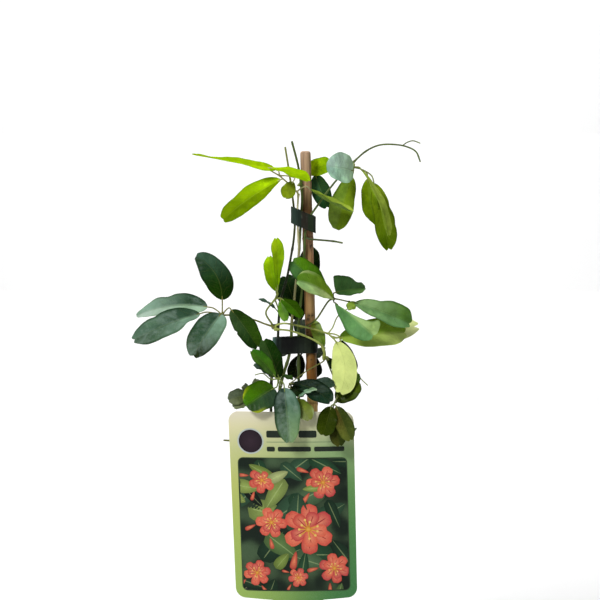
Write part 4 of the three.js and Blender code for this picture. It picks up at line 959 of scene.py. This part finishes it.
# A knot's two ridges and the groove between them: each one's place above the knot, height and width.
KNOT = [(-1.6, 0.55, 1.5), (1.6, 0.28, 1.2), (0, -0.3, 0.7)]
# The rings of the sawn top: each one's share of the cane's radius and how far it sinks, which sets its
# painted shade.
SAWN_TOP = [(0.5, -0.1), (0.34, 0.5), (0.2, 2.4)]


def scar(spot, out):
    """How dark the cane is at a spot on its skin, out from its middle line."""
    if out.y >= 0:
        return 0
    depth = max(hump(out.x - right, wide) * hump(spot.z - z, tall) for z, right, wide, tall in SCARS)
    return 0.95 * min(1.3 * depth, 1) * smooth(noise.noise(spot * 0.8), -0.45, -0.05)


def cane_skin(y, length):
    """The cane's radius at y up it, and how dark it is at the scars of its knots."""
    radius, dark = CANE["radius"], 0.0
    for share in CANE["knots"]:
        gap = y - share * length
        radius += sum(height * hump(gap - place, width) for place, height, width in KNOT)
        dark = max(dark, 0.75 * hump(gap + 0.2, 0.8))
    rounding = 0.6 * max(1 - (length - y) / CANE["rounding"], 0) ** 2
    return radius - CANE["radius"] * (1 - math.sqrt(1 - rounding)), dark


def cane():
    """A bamboo cane: knots with a ridge and a sheath scar, fine flutes, and a sawn hollow top painted darker
    deeper in, as painted shade.
    """
    piece = Piece()
    foot, top, sides = Vector(CANE["foot"]), Vector(CANE["top"]), CANE["sides"]
    length = (top - foot).length
    way = (top - foot).normalized()
    side = way.orthogonal().normalized()
    other = way.cross(side)
    stations = [k * CANE["pitch"] for k in range(int(length / CANE["pitch"]) - 1)]
    rows = []
    for y in stations + [length - k for k in (1.6, 1.1, 0.7, 0.3, 0)]:
        radius, dark = cane_skin(y, length)
        rows.append([])
        for i, angle, out in spokes(side, other, sides):
            flutes = CANE["flute"] * math.sin(CANE["flutes"] * angle + 0.02 * y)
            rough = flutes + CANE["rough"] * noise.noise(Vector((3 * angle, y * 0.03, 1)))
            spot = foot + y * way + (radius + rough - 0.1) * out
            bloom = max(dark, scar(spot, spot - foot - y * way))
            rows[-1].append(piece.add(spot, bloom=bloom, place=(i / sides, y / length)))
    piece.face(*reversed(rows[0]))
    for share, sink in SAWN_TOP:
        # painted shade: each sunken ring is darker the deeper it sinks into the hollow
        rows.append([piece.add(top - sink * way + share * CANE["radius"] * out, bloom=min(sink / 2.4, 0.8))
                     for _, _, out in spokes(side, other, sides)])
    piece.sheet(rows, closed=True)
    piece.face(*rows[-1])
    piece.finish("bamboo_cane_looks", [bamboo_material()], "bamboo", "bamboo_cane")


# ------------------------------------------------------------------ bands
def band_path(z, slope, posts):
    """The strap's inner line: the hull of all that it goes round, evenly divided and smoothed."""
    corners = []
    for share in (-0.55, 0, 0.55):
        for route, radius in posts:
            centre = route_at(route, z - slope * route_at(route, z).x + share * BAND["height"])
            corners += circle(centre.x, centre.y, radius + BAND["gap"], 24)
    loop = [Vector((x, y, 0)) for x, y in hull(corners)]
    ring = resample([*loop, loop[0]], BAND["points"])[:-1]
    for _ in range(3):
        ring = [(ring[i - 1] + 2 * p + ring[(i + 1) % len(ring)]) / 4 for i, p in enumerate(ring)]
    return ring


def band(name, z, slope, side_light, facets, posts):
    """A strap pulled tight round its posts, with rounded edges, painted light on its left front side, and
    facets, each from its own x, in their own tones of painted light and shade."""
    ring = band_path(z, slope, posts)
    half, wall = BAND["height"] / 2, BAND["wall"]
    # The section's lower edge, out from the inner line and up, which the upper edge mirrors.
    edge = [(0, 0.3), (0.25, 0), (wall - 0.35, 0), (wall, 0.35), (wall - 0.06, 1.4)]
    profile = [*[(d, h - half) for d, h in edge], (wall - 0.12, 0), *[(d, half - h) for d, h in edge[::-1]]]
    piece = Piece()
    rows = []
    for i, p in enumerate(ring):
        tangent = (ring[(i + 1) % len(ring)] - ring[i - 1]).normalized()
        out = Vector((tangent.y, -tangent.x, 0))
        # painted light on the side facing the key light, to the left and towards the front
        lit_side = side_light * smooth(-out.x, 0.25, 0.8) * smooth(-out.y, 0, 0.3)
        # painted light and shade: each facet a lit or shaded tone of the same dark plastic
        colour = rgb(facets[0][1])
        for start, code in facets[1:]:
            colour = mixed(colour, rgb(code), smooth(p.x, start - 0.3, start + 0.3))
        fold = hump(i % BAND["crease_gap"] - BAND["crease_gap"] // 2, 1.6)
        crease = BAND["crease"] * fold * smooth(-out.x, -0.2, 0.3)
        rows.append([])
        for d, h in profile:
            spot = p + (d + crease * (d > 0.3)) * out
            fray = BAND["fray"] * noise.noise(Vector((i * 0.09, 4.0 * (h > 0), z))) * (abs(h) > half - 1)
            rows[-1].append(piece.add((spot.x, spot.y, z + h + fray - slope * spot.x), colour, lit_side))
    piece.sheet(rows + rows[:1], closed=True, flip=True)
    piece.finish(name + "_looks", [BAND_SKIN], "band_plastic", name, sharp=50)


# Each strap: its height, its slope, how much painted light its left front side takes, its facets (each from
# its own x, in its own painted tone of light and shade on the same dark plastic), and the radii of the main
# stem, the left, the right and the young shoot inside it.
BANDS = {
    "tie_band_upper": (498, 0.42, 0.1, [(-20, "#14241E"), (-1, "#241F16"), (5, "#17260F"), (9.6, "#0C120C")],
                       (1.3, 1.2, 1.3, 0.95)),
    "tie_band_lower": (385, 0, 0.9, [(-40, "#3E5E58"), (-24, "#0E1816"), (-19, "#020303"), (-8.4, "#060A07"),
                                     (-3, "#161B14"), (2, "#262C22"), (7.6, "#0E120B"), (9.6, "#020302")],
                       (1.6, 1.45, 1.6)),
}


def bands():
    """Both straps, each round the cane and the stems beside it."""
    cane_post = ((CANE["foot"], CANE["top"]), CANE["radius"] + 0.05)
    routes = [STEMS[stem_index]["runs"][run][2] for stem_index, run in ((0, 0), (1, 0), (2, 0), (0, 1))]
    for name, (z, slope, side_light, facets, radii) in BANDS.items():
        band(name, z, slope, side_light, facets, [cane_post, *zip(routes, radii)])


# ------------------------------------------------------------------ label
def label_point(x, z, proud=0.0):
    """The spot on the label's front at x from its middle line and height z, proud of it."""
    lean, tilt = math.tan(math.radians(LABEL["lean"])), math.tan(math.radians(LABEL["tilt"]))
    bow = LABEL["bow"] * (x / (LABEL["width"] / 2)) ** 2
    return (LABEL["foot"][0] + x - (z - SOIL["top"]) * tilt,
            LABEL["foot"][1] - (z - SOIL["top"]) * lean + bow - LABEL["thick"] / 2 - proud, z)


def label_half(z):
    """Half the label's width at height z."""
    bottom, height, corner, shoulder = (LABEL[key] for key in ("bottom", "height", "corner", "shoulder"))
    top = bottom + height
    half, spike = LABEL["width"] / 2, LABEL["spike"] / 2
    if z < bottom - shoulder:
        return LABEL["tip"] + (spike - LABEL["tip"]) * min((z - LABEL["spike_foot"]) / LABEL["point"], 1)
    if z < bottom:
        return spike + (half - corner - spike) * (z - bottom + shoulder) / shoulder
    if z < bottom + corner:
        return half - corner + math.sqrt(max(corner**2 - (bottom + corner - z) ** 2, 0))
    half += LABEL["spread"] * min((z - bottom - corner) / (height - 2 * corner), 1)
    if z > top - corner:
        return half - corner + math.sqrt(max(corner**2 - (z - top + corner) ** 2, 0))
    return half


def label_plate():
    """The label's plate and its spike."""
    bottom, height, foot, columns = (LABEL[key] for key in ("bottom", "height", "spike_foot", "columns"))
    heights = [*range(foot, foot + 20, 4), *range(foot + 20, foot + 90, 6), bottom - LABEL["shoulder"],
               bottom - LABEL["thick"], *levels(bottom, bottom + height, LABEL["corner"], 10, 24)]
    breadth = LABEL["width"] + 2 * LABEL["spread"]
    piece = Piece()
    front, back = [], []
    for z in heights:
        row = [label_half(z) * (2 * i / columns - 1) for i in range(columns + 1)]
        for rows, proud in ((front, -0.05), (back, 0.05 - LABEL["thick"])):
            rows.append([piece.add(label_point(x, z, proud),
                                   place=(0.5 + x / breadth, max((z - bottom) / height, 0))) for x in row])
    piece.slab(back, front)
    piece.finish("plant_label_looks", [label_material()], "printed_plastic", "plant_label", sharp=40)


class Print:
    """Flat inked shapes laid on the label's front, each a little prouder than the one before."""
    LOWEST, STEP, FLOWERS = 0.06, 0.004, 0.32

    def __init__(self):
        self.piece = Piece()
        self.proud = self.LOWEST

    def grid(self, rows, tones, closed=False):
        """Points in rows of (x, z) with a tone each, joined into one inked sheet."""
        self.proud += self.STEP
        laid = [[self.piece.add(label_point(x, z, self.proud), tone) for (x, z), tone in zip(row, tone_row)]
                for row, tone_row in zip(rows, tones)]
        self.piece.sheet(laid, closed)
        return laid

    def shape(self, edge, tint, middle_tint=None, fit=lambda x, z: (x, z)):
        """A filled outline of (x, z) points, shading from its edge to its middle."""
        middle_tint = middle_tint or tint
        mx, mz = [sum(values) / len(edge) for values in zip(*edge)]
        rings = max(3, int(max(math.dist((mx, mz), p) for p in edge) / 2.5))
        shares = [1 - k / rings for k in range(rings)]
        rows = [[fit(mx + (x - mx) * share, mz + (z - mz) * share) for x, z in edge] for share in shares]
        tones = [[mixed(middle_tint, tint, share)] * len(edge) for share in shares]
        laid = self.grid(rows, tones, closed=True)
        self.piece.fan(laid[-1], self.piece.add(label_point(*fit(mx, mz), self.proud), middle_tint))


def rounded(left, low, right, high, radius, steps):
    """A rounded rectangle's outline, with points along its sides so that it follows the bowed plate."""
    x0, x1, z0, z1 = left + radius, right - radius, low + radius, high - radius
    corners = ((x1, z1), (x0, z1), (x0, z0), (x1, z0))
    points = [polar(*corner, radius, math.radians(90 * turn + 90 * k / steps))
              for turn, corner in enumerate(corners) for k in range(steps + 1)]
    edge = []
    for (ax, az), (bx, bz) in zip(points, points[1:] + points[:1]):
        parts = max(round(abs(bx - ax) / 2), 1)
        edge += [(ax + (bx - ax) * k / parts, az + (bz - az) * k / parts) for k in range(parts)]
    return edge


def petal(x, z, angle, length, width, blunt=0.62, steps=12):
    """A drop-shaped outline from (x, z) outwards: narrow at its foot and round at its end."""
    points = []
    sides = [(k / steps, 1) for k in range(steps + 1)] + [(1 - k / steps, -1) for k in range(1, steps)]
    for t, side in sides:
        half = side * width / 2 * outline(max(t, 0.001), blunt, 1.5) * (1 - smooth(t, 0.93, 1.0))
        spot = polar(x, z, t * length, angle)
        points.append((spot[0] - half * math.sin(angle), spot[1] + half * math.cos(angle)))
    return points


# The label's printed panel: its edges from the label's middle line and foot, and its corner radius.
PANEL = dict(left=-46.7, right=46.8, low=LABEL["bottom"] + 7.5, high=LABEL["bottom"] + 127, corner=4)
# The round mark: its place from the label's middle line and top, and the radii of its ring and disc.
MARK = dict(x=-35.7, drop=26.2, ring=11.4, disc=10.2)
# Plain bars in place of words: left, right, lower and upper edge under the label's top, corner radius, the
# steps in a corner, and colour.
BARS = [(-21.8, 3.3, 22.9, 16.7, 1.4, 4, "#2A332A"), (6.2, 21.6, 22.9, 16.7, 1.4, 4, "#2A332A"),
        (-21.8, 46.5, 27.1, 26.6, 0.2, 2, "#7E9A72"), (-21.8, -14.8, 35.2, 31, 1.2, 4, "#2A332A"),
        (-12.2, 16.4, 35.2, 31, 1.2, 4, "#2A332A"), (19.2, 45.4, 35.2, 31, 1.2, 4, "#2A332A")]
# Flowers of the printed panel: x from its middle line, height over its foot, radius and turn.
FLOWERS = [(-27, 100, 12, 0.4), (26, 98, 15, 0.1), (-34, 16, 12, 1.3), (34, 20, 14, 0.7), (2, 12, 9, 0.2),
           (-20, 62, 14, 0.9), (12, 56, 23, 0.5)]
# Sunlit leaves of the panel: x, height over its foot and length.
SUNNY_LEAVES = [(-38, 114, 24), (-30, 92, 22), (-42, 80, 18), (-4, 108, 20), (8, 92, 16), (-6, 34, 18)]
SUNNY_TONES = "#9CB25C #B0C270 #88A04C #BECA86".split()
LEAF_TONES = "#24402C #2E5438 #3C5E44 #587652 #26392A #7E9850 #66864C #18241C #96AC5C".split()
PETAL_TONES = "#CE4841 #DC5648 #E4664F #C74247".split()


def in_panel(x, z):
    """The point, moved inside the panel's edge."""
    return (min(max(x, PANEL["left"] + 0.5), PANEL["right"] - 0.5),
            min(max(z, PANEL["low"] + 0.5), PANEL["high"] - 0.5))


def panel_ground(art, border, deep, lit):
    """The panel's rounded ground, grown by its border, in soft blotches between two tones."""
    corner, low, high = PANEL["corner"] + border, PANEL["low"] - border, PANEL["high"] + border
    rows, tones = [], []
    for z in levels(low, high, corner, 6, 40):
        bite = max(low + corner - z, z - high + corner, 0)
        inset = corner - math.sqrt(max(corner**2 - bite**2, 0)) - border
        left, right = PANEL["left"] + inset, PANEL["right"] - inset
        rows.append([(left + (right - left) * i / 36, z) for i in range(37)])
        tones.append([mixed(deep, lit, smooth(noise.noise(Vector((x, z, 0)) * 0.06), -0.2, 0.5))
                      for x, z in rows[-1]])
    art.grid(rows, tones)


def foliage(art, dice, x, z, size, tones=LEAF_TONES):
    """One printed leaf, with a paler midrib."""
    angle = dice.uniform(0, TURN)
    tone = rgb(dice.choice(tones))
    edge = petal(x, z, angle, size, size * dice.uniform(0.38, 0.6))
    art.shape(edge, mixed(tone, BLACK, 0.45), tone, in_panel)
    rib = petal(x, z, angle, size * 0.92, size * 0.03)
    art.shape(rib, mixed(tone, rgb("#B9C98A"), 0.35), fit=in_panel)


def flower(art, dice, x, z, size, turn):
    """An open flower of two rows of petals round a tuft of yellow stamens, with two buds beside it."""
    art.proud = art.FLOWERS
    for angle in (turn + 2.4, turn + 3.7):
        bud = petal(*polar(x, z, size, angle), angle + 0.3, size * 0.75, size * 0.26, 0.75)
        art.shape(bud, rgb("#B8403A"), rgb("#EE8B62"), in_panel)
    for row, (count, length, width) in enumerate(((6, size, size * 0.62), (5, size * 0.72, size * 0.5))):
        for k in range(count):
            angle = turn + TURN * (k + 0.5 * row) / count + dice.uniform(-0.08, 0.08)
            tone = rgb(dice.choice(PETAL_TONES))
            edge = petal(x, z, angle, length, width, 0.66)
            art.shape(edge, tone, mixed(tone, rgb("#F7A27C"), 0.75), in_panel)
            streak = petal(x, z, angle, length * 0.8, width * 0.07)
            art.shape(streak, mixed(tone, (0.25, 0.01, 0.02, 1), 0.5), fit=in_panel)
    for k in range(9):
        angle = turn + TURN * k / 9 + dice.uniform(-0.2, 0.2)
        reach = size * dice.uniform(0.26, 0.42)
        art.shape(petal(x, z, angle, reach, size * 0.04), rgb("#E9B24A"), fit=in_panel)
        art.shape(circle(*in_panel(*polar(x, z, reach, angle)), size * 0.05, 8), rgb("#F6D070"))
    art.shape(circle(*in_panel(x, z), size * 0.12, 12), rgb("#D9842E"), rgb("#F2C257"))


def label_print():
    """A plain dark disc, plain bars in place of words, and a panel of open coral flowers among leaves."""
    art = Print()
    top = LABEL["bottom"] + LABEL["height"]
    art.shape(circle(MARK["x"], top - MARK["drop"], MARK["ring"], 48), rgb("#C3CDC9"))
    art.shape(circle(MARK["x"], top - MARK["drop"], MARK["disc"], 48), rgb("#2A1F27"), rgb("#3A2C36"))
    for left, right, low, high, radius, steps, code in BARS:
        art.shape(rounded(left, top - low, right, top - high, radius, steps), rgb(code))
    panel_ground(art, 0.8, rgb("#3A4A34"), rgb("#4A5A40"))
    panel_ground(art, 0, rgb("#1A261D"), rgb("#4A6044"))
    dice = random.Random(11)
    low = PANEL["low"]
    for _ in range(30):
        x, z = dice.uniform(PANEL["left"], PANEL["right"]), dice.uniform(low, PANEL["high"])
        foliage(art, dice, x, z, dice.uniform(22, 38))
    for x, z, size in SUNNY_LEAVES:
        foliage(art, dice, x, low + z, size, SUNNY_TONES)
    for x, z, size, turn in FLOWERS:
        flower(art, dice, x, low + z, size, turn)
    art.piece.finish("label_print", [ink_material()], "printed_plastic")


# ------------------------------------------------------------------ pot and compost
CRUMB_SIZES = (0.6, 0.8, 1.0, 1.3, 1.8)
CRUMB_TONES = "#2A1C12 #3D2A1B #4C3522 #5A432E #241A14 #6B5238 #B9B3A4".split()
WALL_SLOPE = (POT["rim"] - POT["step"] - POT["base"]) / POT["height"]


def outer_radius(z):
    return POT["base"] + WALL_SLOPE * z


def inner_radius(z):
    return POT["base"] - POT["wall"] + WALL_SLOPE * z


def pot():
    """A moulded pot: a faintly ribbed wall, a stepped lip and a closed floor."""
    height, rim, base, floor = POT["height"], POT["rim"], POT["base"], POT["floor"]
    lip = height - POT["lip"]
    mouth = rim - POT["step"]
    rib = lambda z: RIBS["depth"] * (z // RIBS["pitch"] % 2) * (RIBS["low"] < z < RIBS["high"])
    ribbed = [(outer_radius(z) + rib(z), z) for z in range(4, lip - 3, 2)]
    piece = Piece()
    rows = piece.lathe([
        (base - 6, 0), (base - 1.4, 0), (base - 0.4, 0.3), (base, 1), *ribbed,
        (outer_radius(lip - 1), lip - 0.8), (outer_radius(lip), lip - 0.2), (rim - 1, lip + 0.2),
        (rim - 0.4, lip + 0.6), (rim - 0.2, lip + 1.4), (rim - 0.05, height - 1.6), (rim - 0.3, height - 0.5),
        (rim - 0.9, height - 0.05), (mouth + 0.6, height - 0.1), (mouth - 0.6, height - 0.8),
        (inner_radius(height - 3) + 0.2, height - 3), (inner_radius(lip), lip), (inner_radius(60), 60),
        (inner_radius(floor), floor)], POT["sides"])
    piece.face(*reversed(rows[0]))
    piece.face(*rows[-1])
    piece.finish("nursery_pot_looks", [pot_material()], "pot_plastic", "nursery_pot", sharp=40)


def compost():
    """Lumpy compost with crumbs, bark chips and pale perlite on it."""
    dice = random.Random(5)
    surface, sides = SOIL["top"] - SOIL["sink"], POT["sides"]
    edge = inner_radius(SOIL["top"]) - 0.4
    lump = lambda x, y: 1.5 * noise.noise(Vector((x, y, 0)) * 0.09) + noise.noise(Vector((x, y, 9)) * 0.3)
    piece = Piece()
    brown = rgb("#3A281B")
    under = piece.lathe([(inner_radius(4) - 0.5, 4), (edge, SOIL["top"] - 2)], sides, brown)
    piece.face(*reversed(under[0]))
    rings = [(edge * (1 - k / SOIL["rings"]), surface) for k in range(SOIL["rings"])]
    cover = piece.lathe(rings, sides, brown, lump)
    piece.sheet([under[-1], cover[0]], closed=True)
    piece.fan(cover[-1], piece.add((0, 0, surface + lump(0, 0)), brown))
    for _ in range(SOIL["crumbs"]):
        x, y = polar(0, 0, edge * math.sqrt(dice.random()) * 0.98, dice.uniform(0, TURN))
        size = dice.choice(CRUMB_SIZES)
        tone = rgb(dice.choice(CRUMB_TONES))
        crumb(piece, dice, Vector((x, y, surface + lump(x, y) + 0.25 * size)), size, tone)
    piece.finish("potting_soil_looks", [compost_material()], "compost", "potting_soil")


def crumb(piece, dice, centre, size, tone):
    """A squashed eight-sided lump."""
    stretch = Vector((dice.uniform(0.7, 1.5), dice.uniform(0.6, 1.2), dice.uniform(0.4, 0.8))) * size
    spin = Matrix.Rotation(dice.uniform(0, math.pi), 3, "Z")
    ways = ((1, 0, 0), (0, 1, 0), (-1, 0, 0), (0, -1, 0), (0, 0, 1), (0, 0, -1))
    *ring, upper, lower = [
        piece.add(centre + spin @ Vector(a * b * dice.uniform(0.8, 1.2) for a, b in zip(way, stretch)), tone)
        for way in ways]
    piece.fan(ring, upper)
    piece.fan(ring, lower, flip=True)


# ------------------------------------------------------------------ setting
def studio():
    """A pale floor that sweeps up behind the plant, three soft lights and a dim world."""
    scene = bpy.context.scene
    scene.view_settings.view_transform = "Standard"
    world = bpy.data.worlds.new("studio")
    world.use_nodes = True
    background = world.node_tree.nodes["Background"].inputs
    background["Color"].default_value = WHITE
    background["Strength"].default_value = 0.06
    scene.world = world
    floor = Piece()
    floor.sheet([[floor.add((x, y, z)) for x in (-FLOOR_HALF, FLOOR_HALF)] for y, z in FLOOR])
    obj = floor.mesh("floor", [Graph("pale_floor").paint((0.94, 0.94, 0.94, 1), 0.9)])
    for setting in LIGHTS:
        light(*setting)


def linked(name, data):
    """A new object of the data, in the scene."""
    obj = bpy.data.objects.new(name, data)
    bpy.context.scene.collection.objects.link(obj)
    return obj


def light(name, spot, target, size, power):
    """A square light at a spot, aimed at its target."""
    data = bpy.data.lights.new(name, "AREA")
    data.size = size * MM
    data.energy = power
    obj = linked(name, data)
    obj.location = Vector(spot) * MM
    aim = Vector(target) * MM - obj.location
    obj.rotation_euler = aim.to_track_quat("-Z", "Y").to_euler()


def camera():
    """The photo's view, looking slightly down at the plant."""
    pitch = math.radians(CAMERA["pitch"])
    data = bpy.data.cameras.new("camera")
    data.lens = CAMERA["lens"]
    data.sensor_width = CAMERA["sensor"]
    obj = linked("camera", data)
    away = Vector((0, -math.cos(pitch), math.sin(pitch))) * CAMERA["distance"]
    obj.location = (Vector(CAMERA["target"]) + away) * MM
    obj.rotation_euler = (math.pi / 2 - pitch, 0, 0)
    bpy.context.scene.camera = obj


# ------------------------------------------------------------------ build
camera()
studio()
pot()
compost()
cane()
bands()
for entry in STEMS:
    stem(entry)
for entry in LEAVES:
    compound_leaf(entry)
label_plate()
label_print()
